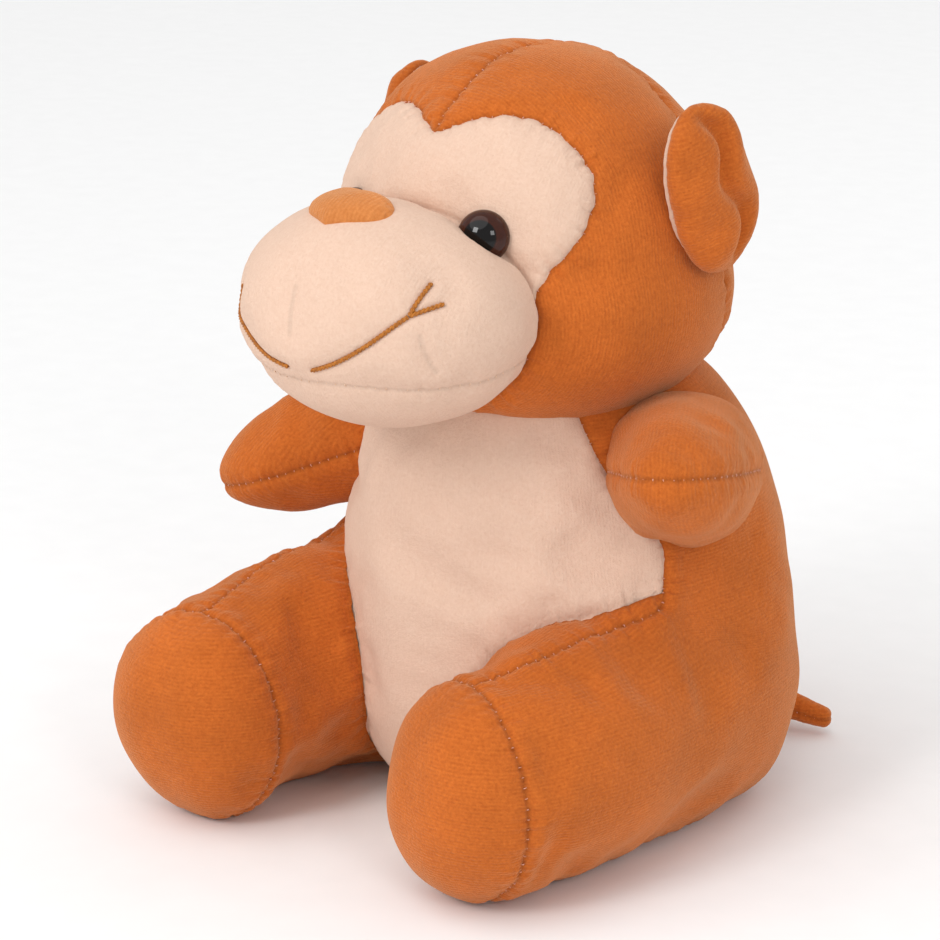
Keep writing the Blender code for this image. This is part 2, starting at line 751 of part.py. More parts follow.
arms = {}
for side, sign, aim, limits in (
    ("left", 1, ARM_LEFT_AIM, ARM_LEFT_LIFT),
    ("right", -1, ARM_RIGHT_AIM, ARM_RIGHT_LIFT),
):
    shoulder = np.array([sign * SHOULDER[0], SHOULDER[1], SHOULDER[2]])
    arm = Arm(shoulder, aim)
    g = GAP / 2 / (ARM_TALL / 2)
    a, b = lattice(0.0, pi, g, pi - g, 10, 8)
    upper = panel("arm_upper_" + side, arm, ORANGE, a, b)
    a, b = lattice(0.0, pi, pi + g, 2 * pi - g, 10, 8)
    lower = panel("arm_lower_" + side, arm, ORANGE, a, b)
    fill = filling("arm_filling_" + side, arm, 10, 16)
    lift_axis = unit(np.cross(arm.axis, (0, 0, 1)))
    cutter = hull("arm_room_" + side, swept(arm, 10, 18, shoulder, lift_axis, limits, 4))
    parent_all("arm_hinge_" + side, shoulder, (upper, lower, fill))
    arms[side] = (upper, lower, fill, cutter, shoulder, lift_axis)

# ---- legs -----------------------------------------------------------------
class Leg:
    """A bowed leg on the floor: a runs 0..1 over the foot, 1..2 along it, 2..3 over the hip."""

    limits = (0.0, 3.0)
    turn = pi / 2

    def __init__(self, hip, toe, toe_in):
        self.hip, self.toe = np.array(hip, float), np.array(toe, float)
        reach = np.linalg.norm(self.hip - self.toe) * 0.48
        self.bend = self.toe + reach * np.array([-math.sin(toe_in), math.cos(toe_in), 0])

    def line(self, t):
        """Point and direction at t, from the foot (0) to the hip (1)."""
        t = t[..., None]
        point = (1 - t) ** 2 * self.toe + 2 * t * (1 - t) * self.bend + t**2 * self.hip
        return point, unit((1 - t) * (self.bend - self.toe) + t * (self.hip - self.bend))

    def __call__(self, a, b):
        a, b = a + 0 * b, b + 0 * a
        point, back = self.line(np.clip(a - 1, 0, 1))
        angle = np.where(a < 1.5, np.clip(a, 0, 1), 1 + np.clip(a - 2, 0, 1)) * pi / 2
        reach = -np.cos(angle) * LEG_WIDTH / 2 * np.where(a < 1, FOOT_DOME, 1)
        side = np.cross(back, (0.0, 0.0, -1.0))
        return (
            point
            + reach[..., None] * back
            + (np.sin(angle) * np.cos(b) * LEG_WIDTH / 2)[..., None] * side
            + (np.sin(angle) * np.sin(b) * LEG_HEIGHT / 2)[..., None] * np.array([0, 0, 1.0])
        )

    def core(self, a, b):
        return self.line(np.clip(a - 1, 0, 1) + 0 * b)[0]


legs = {}
for side, sign, foot, toe_in in (
    ("left", 1, FOOT_LEFT, TOE_IN_LEFT_DEG),
    ("right", -1, FOOT_RIGHT, TOE_IN_RIGHT_DEG),
):
    hip = np.array([sign * HIP[0], HIP[1], LEG_HEIGHT / 2])
    toe = np.array([foot[0], foot[1], LEG_HEIGHT / 2])
    leg = Leg(hip, toe, -sign * deg(toe_in))
    g = GAP / 2 / (LEG_WIDTH / 2)
    sole_a = deg(SOLE_DEG) / leg.turn
    # b runs from the leg's own right, over its top; the outer panel is on the body's outside
    seam_top = pi / 2 - sign * deg(8)
    seam_low = -pi / 2 + sign * deg(8)
    a, b = lattice(0.0, sole_a - g, 0, 2 * pi, 4, 20, wrap=True)
    sole = panel("foot_sole_" + side, leg, ORANGE, a, b, wrap=True)
    spans = {1: (seam_low, seam_top), -1: (seam_top, seam_low + 2 * pi)}
    near, far = spans[1], spans[-1]
    middle = np.array([[1.5]])
    spread = leg(middle, np.array([[0.0]])) - leg(middle, np.array([[pi]]))
    outer_span, inner_span = (near, far) if spread[0, 0, 0] * sign > 0 else (far, near)
    a, b = lattice(sole_a + g, 3.0, outer_span[0] + g, outer_span[1] - g, 9, 9)
    outer = panel("leg_outer_" + side, leg, ORANGE, a, b)
    a, b = lattice(sole_a + g, 3.0, inner_span[0] + g, inner_span[1] - g, 9, 9)
    inner = panel("leg_inner_" + side, leg, ORANGE, a, b)
    fill = filling("leg_filling_" + side, leg, 12, 18)
    grow = SLACK + LEG_WIDTH * 2 * FACET_SHARE
    room = swept(leg, 12, 26, hip, (1, 0, 0), (-LEG_LIFT[1], -LEG_LIFT[0]), 4, grow)
    # the body leaves no lip outside or under the leg
    sideways, down = np.array((sign * 14.0, 0, 0)), np.array((0, 0, -9.0))
    room = np.concatenate([room, room + sideways, room + down, room + sideways + down])
    cutter = hull("leg_room_" + side, room)
    parent_all("leg_hinge_" + side, hip, (sole, outer, inner, fill))
    legs[side] = (sole, outer, inner, fill, cutter, hip)

# ---- tail -----------------------------------------------------------------
tail = Limb(TAIL_ROOT, TAIL_TIP, TAIL_ROOT_R, TAIL_TIP_R)
g = GAP / 2 / TAIL_ROOT_R
a, b = lattice(0.0, 3.0, g, pi - g, 8, 6)
tail_upper = panel("tail_upper", tail, ORANGE, a, b, thick=1.2)
a, b = lattice(0.0, 3.0, pi + g, 2 * pi - g, 8, 6)
tail_lower = panel("tail_lower", tail, ORANGE, a, b, thick=1.2)
tail_fill = filling("tail_filling", tail, 8, 12, inset=1.2 + GAP + 0.3)
tail_cutter = hull("tail_room", swept(tail, 6, 12, np.array(TAIL_ROOT), (0, 0, 1), TAIL_SWING, 6))
parent_all("tail_hinge", TAIL_ROOT, (tail_upper, tail_lower, tail_fill))

# ---- room for the parts that move -----------------------------------------
a, b = lattice(*head.limits, 0, 2 * pi, 14, 24, wrap=True)
rest = on_form(head, a, b, -SLACK).reshape(-1, 3)
rest = rest[rest[:, 2] < HEAD_CENTRE[2]]
poses = [
    turned(turned(rest, neck_pivot, (1, 0, 0), n), neck_pivot, (0, 0, 1), t)
    for n in np.linspace(*NOD, 3)
    for t in np.linspace(*TURN, 3)
]
head_cutter = hull("head_room", np.concatenate(poses))

cut(belly, (head_cutter, arms["left"][3], arms["right"][3], legs["left"][4], legs["right"][4]))
cut(side_left, (head_cutter, arms["left"][3], legs["left"][4], tail_cutter))
cut(side_right, (head_cutter, arms["right"][3], legs["right"][4], tail_cutter))
limb_cutters = [arms[side][3] for side in arms] + [legs[side][4] for side in legs]
cut(torso_fill, (head_cutter, neck_cutter, *limb_cutters, tail_cutter))

head_cloth = (face_mask, *head_sides, head_back, muzzle_upper, chin, nose)
parent_all("head_nod", NECK_PIVOT, (*head_cloth, head_fill, muzzle_fill, *mouths, *eyes, *washers))
parent_all("head_turn", NECK_PIVOT, (neck_fill, neck_thread))
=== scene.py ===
import json
import math
import bpy
import numpy as np
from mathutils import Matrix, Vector
from mathutils.kdtree import KDTree


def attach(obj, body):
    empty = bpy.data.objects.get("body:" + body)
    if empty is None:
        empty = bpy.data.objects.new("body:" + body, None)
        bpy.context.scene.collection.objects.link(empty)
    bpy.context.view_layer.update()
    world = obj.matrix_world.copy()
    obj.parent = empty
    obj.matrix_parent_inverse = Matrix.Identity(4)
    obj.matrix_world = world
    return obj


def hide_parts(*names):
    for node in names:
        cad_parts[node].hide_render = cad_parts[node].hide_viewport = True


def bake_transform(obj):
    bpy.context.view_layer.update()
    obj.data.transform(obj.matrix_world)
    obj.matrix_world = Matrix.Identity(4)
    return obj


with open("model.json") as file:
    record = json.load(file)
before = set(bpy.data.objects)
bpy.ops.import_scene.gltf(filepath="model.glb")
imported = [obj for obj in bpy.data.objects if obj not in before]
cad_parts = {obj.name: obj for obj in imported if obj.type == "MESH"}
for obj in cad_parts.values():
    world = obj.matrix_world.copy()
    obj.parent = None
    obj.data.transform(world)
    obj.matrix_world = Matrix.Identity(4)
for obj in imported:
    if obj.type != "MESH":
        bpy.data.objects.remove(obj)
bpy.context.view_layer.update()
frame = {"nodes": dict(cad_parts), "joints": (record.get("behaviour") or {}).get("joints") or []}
joints = {j["name"]: j for j in frame["joints"]}
up = np.array((0.0, 0.0, 1.0))
draw = np.random.default_rng(11)  # every random thing below comes from here, in order

# Everything is worked out in millimetres and turned to metres when a mesh is made.
# The monkey faces -Y, its left is +X and it sits on z = 0.
meshing = {
    "fine": 1.5,  # grid step of the shown cloth
    "coarse": 5.0,  # grid step of the cloth that is simulated
    "nearSeam": 5.5,  # triangles closer than this to a seam are split once more
}


# Small sums
def unit(v):
    v = np.asarray(v, float)
    return v / np.maximum(np.linalg.norm(v, axis=-1, keepdims=True), 1e-9)


def ramp(low, high, x):
    t = np.clip((x - low) / (high - low), 0, 1)
    return t * t * (3 - 2 * t)


def through(x, xs, ys):
    # a smooth curve through points, for profiles and pattern edges
    xs, ys = np.asarray(xs, float), np.asarray(ys, float)
    slopes = np.gradient(ys, xs)
    i = np.clip(np.searchsorted(xs, x) - 1, 0, len(xs) - 2)
    span = xs[i + 1] - xs[i]
    t = np.clip((x - xs[i]) / span, 0, 1)
    a, b = 2 * t**3 - 3 * t**2 + 1, t**3 - 2 * t**2 + t
    return a * ys[i] + b * span * slopes[i] + (1 - a) * ys[i + 1] + (t**3 - t**2) * span * slopes[i + 1]


def melt(a, b, k):
    # two shapes run into each other over a width k
    h = np.clip(0.5 + 0.5 * (b - a) / k, 0, 1)
    return b + (a - b) * h - k * h * (1 - h)


def bumpNoise(p, size, seed):
    # smooth noise, about -1 to 1, with lumps of that size
    turns = np.random.default_rng(seed)
    total = np.zeros(len(p))
    for _ in range(7):
        way = unit(turns.normal(size=3)) * 2 * math.pi / (size * turns.uniform(1.4, 2.6))
        total += np.sin(p @ way + turns.uniform(0, 6.3))
    return total / 3.2


def uprightOn(field, p, step=0.4):
    # outward direction of a shape's skin
    g = np.stack([field(p + step * e) - field(p - step * e) for e in np.eye(3)], -1)
    return unit(g), np.linalg.norm(g, axis=-1) / (2 * step)


def settle(field, p, rounds=4):
    # moves points onto the skin of a shape
    for _ in range(rounds):
        way, steep = uprightOn(field, p)
        p = p - way * (field(p) / np.maximum(steep, 0.3))[:, None]
    return p


# The shapes: each field is about the distance outside its skin, and below zero inside
signs = {"left": 1, "right": -1}


head = {
    "centre": np.array((0.0, -4.0, 186.0)),
    "radii": np.array((59.5, 59.0, 58.5)),
    "cheeks": 0.36,  # how far the lower half swells
    "maskAngles": ((-90, -30, -8, 0, 14, 30, 45, 60, 72, 82, 90),  # degrees up from the eyes' level
                   (46, 43, 41, 44, 55, 63, 62, 57.5, 50.5, 43.5, 40)),  # degrees from the face axis
    "backSeam": (112, 14),  # degrees from the face axis, and how much further underneath
    "scallop": 0.35,  # the mask's edge waves a little between stitches
}


def headReach(way):
    low = np.maximum(0, -way[:, 2])
    swell = 1 + head["cheeks"] * low * np.maximum(0, 1 - way[:, 2] ** 2) ** 1.5
    return swell / np.linalg.norm(way / head["radii"], axis=-1)


def headField(p):
    q = p - head["centre"]
    r = np.linalg.norm(q, axis=-1)
    return r - headReach(q / np.maximum(r, 1e-6)[:, None])


muzzle = {
    "centre": np.array((0.0, -70.0, 174.0)),
    "radii": np.array((46.0, 42.0, 33.0)),
    "slope": 0.16,
    "chinSeam": -14.8,  # below its centre
    "chinLift": 4.0,  # higher at the rear sides
}


def muzzleField(p):
    q = p - muzzle["centre"]
    r = np.maximum(np.linalg.norm(q, axis=-1), 1e-6)
    way = q / r[:, None]
    e = unit(way / muzzle["radii"])
    swell = 1 - muzzle["slope"] * np.maximum(0, e[:, 2]) * np.maximum(0, e[:, 1] + 0.3)
    return r - swell / np.linalg.norm(way / muzzle["radii"], axis=-1)


torso = {
    "radius": 71.5,
    "height": 146.0,
    "setBack": 15.0,
    "core": 62.0,
    "profile": ((0, 0), (0.3, 0), (0.56, 0), (0.80, 0.045), (0.95, 0.16), (1.0, 0.36), (0.975, 0.56),
                (0.90, 0.73), (0.79, 0.86), (0.65, 0.95), (0.45, 1.0), (0.2, 1.01), (0, 1.01)),
    "lean": ((0, 0.4, 0.56, 0.73, 0.86, 1.0), (1, 1, 0.95, 0.85, 0.7, 0.4)),  # setBack by height
    "neck": (np.array((0.0, -1.0, 116.0)), 46.0, 16.0),  # the cloth runs up under the head
    "bellyEdge": ((0, 62, 79, 97, 120, 140, 160), (62, 62, 63, 66, 53, 47, 44)),  # half angle by height
}


def torsoTable():
    # radius of the turned body seen from its core, by angle
    points = np.array(torso["profile"]) * (torso["radius"], torso["height"])
    at = np.linspace(0, len(points) - 1, 500)
    ring = np.stack([through(at, np.arange(len(points)), points[:, i]) for i in (0, 1)], -1)
    ring[:, 0] = np.maximum(ring[:, 0], 0)
    angle = np.arctan2(ring[:, 1] - torso["core"], ring[:, 0])
    order = np.argsort(angle)
    return angle[order], np.hypot(ring[:, 0], ring[:, 1] - torso["core"])[order]


torsoAngles, torsoReach = torsoTable()


def torsoAxisY(z):
    return torso["setBack"] * through(z / torso["height"], *torso["lean"])


def torsoField(p):
    x, y, z = p[:, 0], p[:, 1] - torsoAxisY(p[:, 2]), p[:, 2] - torso["core"]
    around = np.hypot(x, y)
    body = np.hypot(around, z) - np.interp(np.arctan2(z, around), torsoAngles, torsoReach)
    centre, radius, width = torso["neck"]
    return melt(body, np.linalg.norm(p - centre, axis=-1) - radius, width)


leg = {
    "width": 62.0,
    "height": 68.0,
    "thigh": 9.0,  # how much higher the leg is towards the hip
    "dome": 0.9,
    "hip": (43.5, 17.0),
    "toes": {"left": (45.0, -80.0), "right": (-64.0, -85.0)},
    "toeIn": {"left": 17.0, "right": 7.0},
    "soleSeam": -4.8,  # in front of the toe's centre
    "topSeam": (5.0, 8.0),  # outwards of the leg's own middle, and further towards the hip
}


def legLine(side):
    sign = signs[side]
    hip = np.array((sign * leg["hip"][0], leg["hip"][1]))
    toe = np.array(leg["toes"][side])
    turn = -sign * math.radians(leg["toeIn"][side])
    reach = np.linalg.norm(hip - toe) * 0.48
    return toe, toe + reach * np.array((-math.sin(turn), math.cos(turn))), hip


def legPlace(p, side):
    # along the leg from the toe's centre, outwards of its middle, and the share of its length
    toe, bend, hip = legLine(side)
    q = p[:, :2]
    span = hip - toe
    t = np.clip((q - toe) @ span / (span @ span), 0, 1)
    for more in (True, True, True, False):  # three steps towards the nearest point of the curved middle
        point = ((1 - t) ** 2)[:, None] * toe + (2 * t * (1 - t))[:, None] * bend + (t**2)[:, None] * hip
        slope = 2 * ((1 - t)[:, None] * (bend - toe) + t[:, None] * (hip - bend))
        if more:
            t = np.clip(t + ((q - point) * slope).sum(-1) / (slope**2).sum(-1), 0, 1)
    back, rel = unit(slope), q - point
    across = np.stack([back[:, 1], -back[:, 0]], -1) * signs[side]
    return (rel * back).sum(-1), (rel * across).sum(-1), t


def legField(p, side):
    past, out, t = legPlace(p, side)
    half = leg["width"] / 2
    end = np.where(t < 0.5, half * leg["dome"], half)
    high = (leg["height"] + leg["thigh"] * ramp(-0.1, 0.45, t)) / 2
    return (np.sqrt((past / end) ** 2 + (out / half) ** 2 + ((p[:, 2] - high) / high) ** 2) - 1) * half


def lowerBody(p):
    # torso and legs as one sewn shell: it flows on the outside and creases on the inside
    shell = torsoField(p)
    for side in signs:
        limb = legField(p, side)
        _, out, _ = legPlace(p, side)
        shell = melt(shell, limb, 3.0 + 22.0 * ramp(-4, 22, out))
    return shell


arm = {
    "reach": {"left": 62.0, "right": 69.0},
    "root": 21.0,
    "curve": {"left": (8.0, 4.0), "right": (0.0, 0.0)},  # how far the paw's tip bends inwards and down
    "width": 49.0,
    "tall": 45.0,
    "room": 76.0,  # half the box it is meshed in
    "aims": {"left": (36.0, -42.0, 18.0), "right": (-47.0, -43.0, -25.0)},
}


def armFrame(side):
    root = np.array(joints[f"arm_{side}_lift"]["pos_m"]) * 1000
    along = unit(arm["aims"][side])
    across = unit(np.cross(along, up))
    return root, np.array((along, across, np.cross(across, along)))


def armPlace(p, side):
    # along, across and up in the arm's own frame, with the paw's curve taken out
    root, axes = armFrame(side)
    q = (p - root) @ axes.T
    inward, down = arm["curve"][side]
    bend = (np.maximum(q[:, 0], 0) / arm["reach"][side]) ** 1.6
    return q + np.stack([bend * 0, bend * inward * -signs[side], bend * down], -1)


def armField(p, side):
    q = armPlace(p, side)
    reach = np.where(q[:, 0] > 0, arm["reach"][side], arm["root"])
    halves = np.stack([reach, reach * 0 + arm["width"] / 2, reach * 0 + arm["tall"] / 2], -1)
    return (np.linalg.norm(q / halves, axis=-1) - 1) * 23


ear = {
    "width": 32.0,
    "thick": 16.0,
    "height": 54.0,
    "standOff": 10.83,  # from the head's skin to its middle
    "leans": {"left": 24.0, "right": 2.0},
    "faces": {"left": (0.95, -0.12, 0.15), "right": (-0.95, 0.02, 0.15)},
    "aims": {"left": (64.0, 2.0, 21.0), "right": (-60.0, 21.0, 15.0)},
    "seam": -2.2,  # outwards of its middle
    "room": (22, 30, 34),  # half the box it is meshed in
}


def earFrame(side):
    sign = signs[side]
    out = unit(ear["aims"][side])
    centre = head["centre"] + out * (headReach(out[None])[0] + ear["standOff"])
    lean = math.radians(ear["leans"][side])
    tall = np.array((0, -math.sin(lean), math.cos(lean)))
    face = unit(ear["faces"][side])
    face = unit(face - tall * (face @ tall))
    return centre, np.array((np.cross(tall, face) * sign, face, tall))  # forwards-back, outwards, up


def earField(p, side):
    centre, axes = earFrame(side)
    w, o, h = ((p - centre) @ axes.T).T
    size = np.array((ear["width"], ear["thick"], ear["height"])) / 2
    body = (np.sqrt((w / size[0]) ** 2 + (o / size[1]) ** 2 + (h / size[2]) ** 2) - 1) * 11
    # the outer face is folded down its length: a rounded lobe in front, a thinner rim behind
    fold = w - 2.2 - 2.2 * np.cos((h - 16) / 4.0)
    valley = 5.6 * np.exp(-((fold / 2.6) ** 2)) - 1.8 * np.exp(-(((fold + 8) / 6.0) ** 2))
    valley = valley - 1.6 * np.exp(-(((fold - 7) / 4.0) ** 2))
    return body + ramp(-1.5, 4.5, o) * valley * ramp(-26, -14, h) * ramp(27, 18, h)


tail = {"root": np.array((0.0, 85.0, 15.0)), "tip": np.array((50.0, 95.0, 6.0)), "radii": (9.0, 3.6)}


def tailField(p):
    span = tail["tip"] - tail["root"]
    t = np.clip((p - tail["root"]) @ span / (span @ span), 0, 1)
    radius = tail["radii"][0] * (1 - t) + tail["radii"][1] * t
    return np.linalg.norm(p - tail["root"] - t[:, None] * span, axis=-1) - radius


# Meshes of cloth
def skinOf(field, low, high, step):
    # an even net of squares over a shape's skin: one point in each grid cell that the skin crosses
    axes = [np.arange(a, b + step, step) for a, b in zip(low, high)]
    grid = np.stack(np.meshgrid(*axes, indexing="ij"), -1)
    shape = grid.shape[:3]
    inside = field(grid.reshape(-1, 3)).reshape(shape) < 0
    cells = np.zeros([n - 1 for n in shape], int)
    for i in (0, 1):
        for j in (0, 1):
            for k in (0, 1):
                cells += inside[i:shape[0] - 1 + i, j:shape[1] - 1 + j, k:shape[2] - 1 + k]
    crossed = (cells > 0) & (cells < 8)
    index = np.full(cells.shape, -1)
    index[crossed] = np.arange(crossed.sum())
    points = np.array(low) + (np.argwhere(crossed) + 0.5) * step
    quads = []
    for axis in range(3):
        here = np.take(inside, range(shape[axis] - 1), axis)
        there = np.take(inside, range(1, shape[axis]), axis)
        at = np.argwhere(here != there)
        u, v = (axis + 1) % 3, (axis + 2) % 3
        at = at[(at[:, u] > 0) & (at[:, v] > 0) & (at[:, u] < shape[u] - 1) & (at[:, v] < shape[v] - 1)]
        stepU, stepV = np.eye(3, dtype=int)[u], np.eye(3, dtype=int)[v]
        corners = [index[tuple((at - a).T)] for a in (stepU * 0, stepU, stepU + stepV, stepV)]
        quad = np.stack(corners, -1)
        outward = here[tuple(at.T)]
        quads.append(np.where(outward[:, None], quad, quad[:, ::-1]))
    quads = np.concatenate(quads)
    points = settle(field, points, 3)
    for _ in range(2):  # evens the net out
        total, count = np.zeros_like(points), np.zeros(len(points))
        for i in range(4):
            np.add.at(total, quads[:, i], points[quads[:, (i + 1) % 4]] + points[quads[:, (i + 3) % 4]])
            np.add.at(count, quads[:, i], 2)
        points = settle(field, 0.4 * points + 0.6 * total / count[:, None], 2)
    return points, np.concatenate([quads[:, [0, 1, 2]], quads[:, [0, 2, 3]]])


def edgesOf(tris):
    ends = np.sort(np.concatenate([tris[:, [0, 1]], tris[:, [1, 2]], tris[:, [2, 0]]]), axis=1)
    edges, index = np.unique(ends, axis=0, return_inverse=True)
    return edges, index.reshape(3, -1).T


def splitTris(tris, middle):
    # middle holds the new point on each of a triangle's three edges, or -1
    made = []
    count = (middle >= 0).sum(1)
    made.append(tris[count == 0])
    for turn in range(3):
        t, m = np.roll(tris, -turn, 1), np.roll(middle, -turn, 1)
        one = (count == 1) & (m[:, 0] >= 0)
        a, b, c, n = *t[one].T, m[one, 0]
        made += [np.stack([a, n, c], -1), np.stack([n, b, c], -1)]
        two = (count == 2) & (m[:, 1] < 0)
        a, b, c, n, k = *t[two].T, m[two, 0], m[two, 2]
        made += [np.stack([a, n, k], -1), np.stack([n, b, c], -1), np.stack([n, c, k], -1)]
    a, b, c = tris[count == 3].T
    n, m, k = middle[count == 3].T
    made += [np.stack(x, -1) for x in ((a, n, k), (n, b, m), (k, m, c), (n, m, k))]
    return np.concatenate(made)


def cutAlong(points, tris, line):
    # new points exactly where line(p) is zero, so that two panels can meet there
    g = line(points)
    g = np.where(np.abs(g) < 0.14, 0.0, g)
    edges, index = edgesOf(tris)
    a, b = edges.T
    crossed = g[a] * g[b] < 0
    share = (g[a] / np.where(crossed, g[a] - g[b], 1))[crossed, None]
    new = np.full(len(edges), -1)
    new[crossed] = len(points) + np.arange(crossed.sum())
    points = np.concatenate([points, points[a[crossed]] * (1 - share) + points[b[crossed]] * share])
    return points, splitTris(tris, new[index])


def finerNear(points, tris, field, far):
    edges, index = edgesOf(tris)
    a, b = edges.T
    near = (far[a] < meshing["nearSeam"]) & (far[b] < meshing["nearSeam"])
    near &= np.linalg.norm(points[a] - points[b], axis=-1) > 0.9
    new = np.full(len(edges), -1)
    new[near] = len(points) + np.arange(near.sum())
    added = settle(field, (points[a[near]] + points[b[near]]) / 2, 2)
    return np.concatenate([points, added]), splitTris(tris, new[index])


def seamRuns(points, tris, panel):
    # the lines where two panels meet, each as points in order
    edges, index = edgesOf(tris)
    low, high = np.full(len(edges), 99), np.full(len(edges), -1)
    for i in range(3):
        np.minimum.at(low, index[:, i], panel)
        np.maximum.at(high, index[:, i], panel)
    seam = low != high
    runs = []
    for pair in sorted({(i, j) for i, j in zip(low[seam], high[seam])}):
        links = {}
        for a, b in edges[seam & (low == pair[0]) & (high == pair[1])]:
            links.setdefault(a, []).append(b)
            links.setdefault(b, []).append(a)
        while links:
            ends = [v for v in links if len(links[v]) == 1]
            run = [min(ends) if ends else min(links)]
            while links.get(run[-1]):
                nxt = links[run[-1]].pop(0)
                links[nxt].remove(run[-1])
                run.append(nxt)
            for v in [v for v in links if not links[v]]:
                del links[v]
            if len(run) > 6:
                runs.append((pair, points[run]))
    return runs


def evenly(run, step):
    # a line's points at even steps, smoothed a little
    run = run.copy()
    for _ in range(4):
        run[1:-1] = 0.5 * run[1:-1] + 0.25 * (run[:-2] + run[2:])
    along = np.concatenate([[0], np.cumsum(np.linalg.norm(np.diff(run, axis=0), axis=-1))])
    at = np.arange(0, along[-1], step)
    return np.stack([np.interp(at, along, run[:, i]) for i in range(3)], -1), at


def closest(points, lines, reach=12.0):
    # distance to the nearest seam, how far along it, and which one
    samples = [evenly(run, 0.5) for run in lines]
    if not samples:
        return np.full(len(points), reach), np.zeros(len(points)), np.zeros(len(points), int)
    where = np.concatenate([s[0] for s in samples])
    along = np.concatenate([s[1] for s in samples])
    owner = np.concatenate([np.full(len(s[1]), i) for i, s in enumerate(samples)])
    tree = KDTree(len(where))
    for i, p in enumerate(where):
        tree.insert(p, i)
    tree.balance()
    far, at, who = np.full(len(points), reach), np.zeros(len(points)), np.zeros(len(points), int)
    low, high = where.min(0) - reach, where.max(0) + reach
    for i in np.flatnonzero(((points > low) & (points < high)).all(1)):
        _, j, d = tree.find(points[i])
        if d < reach:
            far[i], at[i], who[i] = d, along[j], owner[j]
    return far, at, who


def objectFrom(name, points, faces, look=None, marks=None):
    mesh = bpy.data.meshes.new(name)
    faces = faces if isinstance(faces, list) else faces.tolist()
    mesh.from_pydata((np.array(points) * 0.001).tolist(), [], faces)
    mesh.polygons.foreach_set("use_smooth", np.ones(len(mesh.polygons), bool))
    for mark, values in (marks or {}).items():
        mesh.attributes.new(mark, "FLOAT", "POINT").data.foreach_set("value", values.astype(np.float32))
    mesh.update()
    if look:
        mesh.materials.append(look)
    piece = bpy.data.objects.new(name, mesh)
    bpy.context.scene.collection.objects.link(piece)
    return piece


# Stuffing
stuffing = {"pressure": 4.0, "frames": 20, "mostMove": 2.6, "slack": -0.05, "seamHold": 5.0}


def stuff(field, low, high, seams):
    # a coarse copy is blown up like a stuffed skin, held where it is sewn; returns how each part of it moved
    points, tris = skinOf(field, low, high, meshing["coarse"])
    far, _, _ = closest(points, seams)
    skin = objectFrom("stuffedSkin", points, tris)
    skin.data.transform(skin.matrix_world)
    held = skin.vertex_groups.new(name="sewn")
    for i, d in enumerate(far):
        held.add([i], float(np.clip(1.25 - d / stuffing["seamHold"], 0.02, 1)), "REPLACE")
    cloth = skin.modifiers.new("cloth", "CLOTH")
    cloth.settings.vertex_group_mass = "sewn"
    cloth.settings.use_pressure = True
    cloth.settings.uniform_pressure_force = stuffing["pressure"]
    cloth.settings.shrink_min = stuffing["slack"]  # a little more cloth than skin, so that it ruffles
    cloth.settings.quality = 5
    cloth.settings.effector_weights.gravity = 0
    cloth.collision_settings.use_collision = False
    cloth.point_cache.frame_start, cloth.point_cache.frame_end = 1, stuffing["frames"]
    scene = bpy.context.scene
    for f in range(1, stuffing["frames"] + 1):
        scene.frame_set(f)
    got = skin.evaluated_get(bpy.context.evaluated_depsgraph_get()).to_mesh()
    moved = np.array([v.co for v in got.vertices]) * 1000 - points
    scene.frame_set(1)
    bpy.data.objects.remove(skin, do_unlink=True)
    size = np.linalg.norm(moved, axis=-1, keepdims=True)
    most = stuffing["mostMove"]
    moved = moved / np.maximum(size, 1e-9) * most * np.tanh(size / most)
    return points, np.nan_to_num(moved)


def carried(points, skin, moved):
    # the coarse skin's moves, spread smoothly over the fine cloth
    if not np.abs(moved).max() > 0:
        return points * 0
    tree = KDTree(len(skin))
    for i, p in enumerate(skin):
        tree.insert(p, i)
    tree.balance()
    out = np.zeros_like(points)
    for i, p in enumerate(points):
        found = tree.find_n(p, 7)
        w = np.exp([-(d / 4.5) ** 2 for _, _, d in found])
        out[i] = w @ moved[[j for _, j, _ in found]] / w.sum()
    return out


# Sewing
sewing = {
    "valley": 0.8,  # how deep a seam draws in
    "valleyWidth": 1.0,
    "swell": 0.35,  # the cloth stands up beside it
    "pitch": 3.1,  # from needle hole to needle hole
    "pucker": 0.22,
    "thread": 0.15,  # its radius
}


def sewn(points, normals, lines, depths):
    # how far the cloth moves outwards near its seams, and how far each point is from one
    far, along, who = closest(points, lines)
    depth, crumple = np.array(depths)[who].T
    valley = -sewing["valley"] * np.exp(-((far / sewing["valleyWidth"]) ** 2))
    swell = sewing["swell"] * np.exp(-(((far - 4.2) / 2.4) ** 2))
    phase = along * 2 * math.pi / sewing["pitch"]
    slow = np.sin(along * 0.37) + 0.7 * np.sin(along * 0.83 + 1.7)
    pucker = sewing["pucker"] * np.exp(-((far / 3.2) ** 2)) * (np.sin(phase) * (0.7 + 0.3 * slow))
    ruffle = 0.35 * np.exp(-((far / 7.0) ** 2)) * np.sin(along * 0.9 + 1.3 * slow)
    return depth * (valley + swell) + crumple * (pucker + ruffle), far


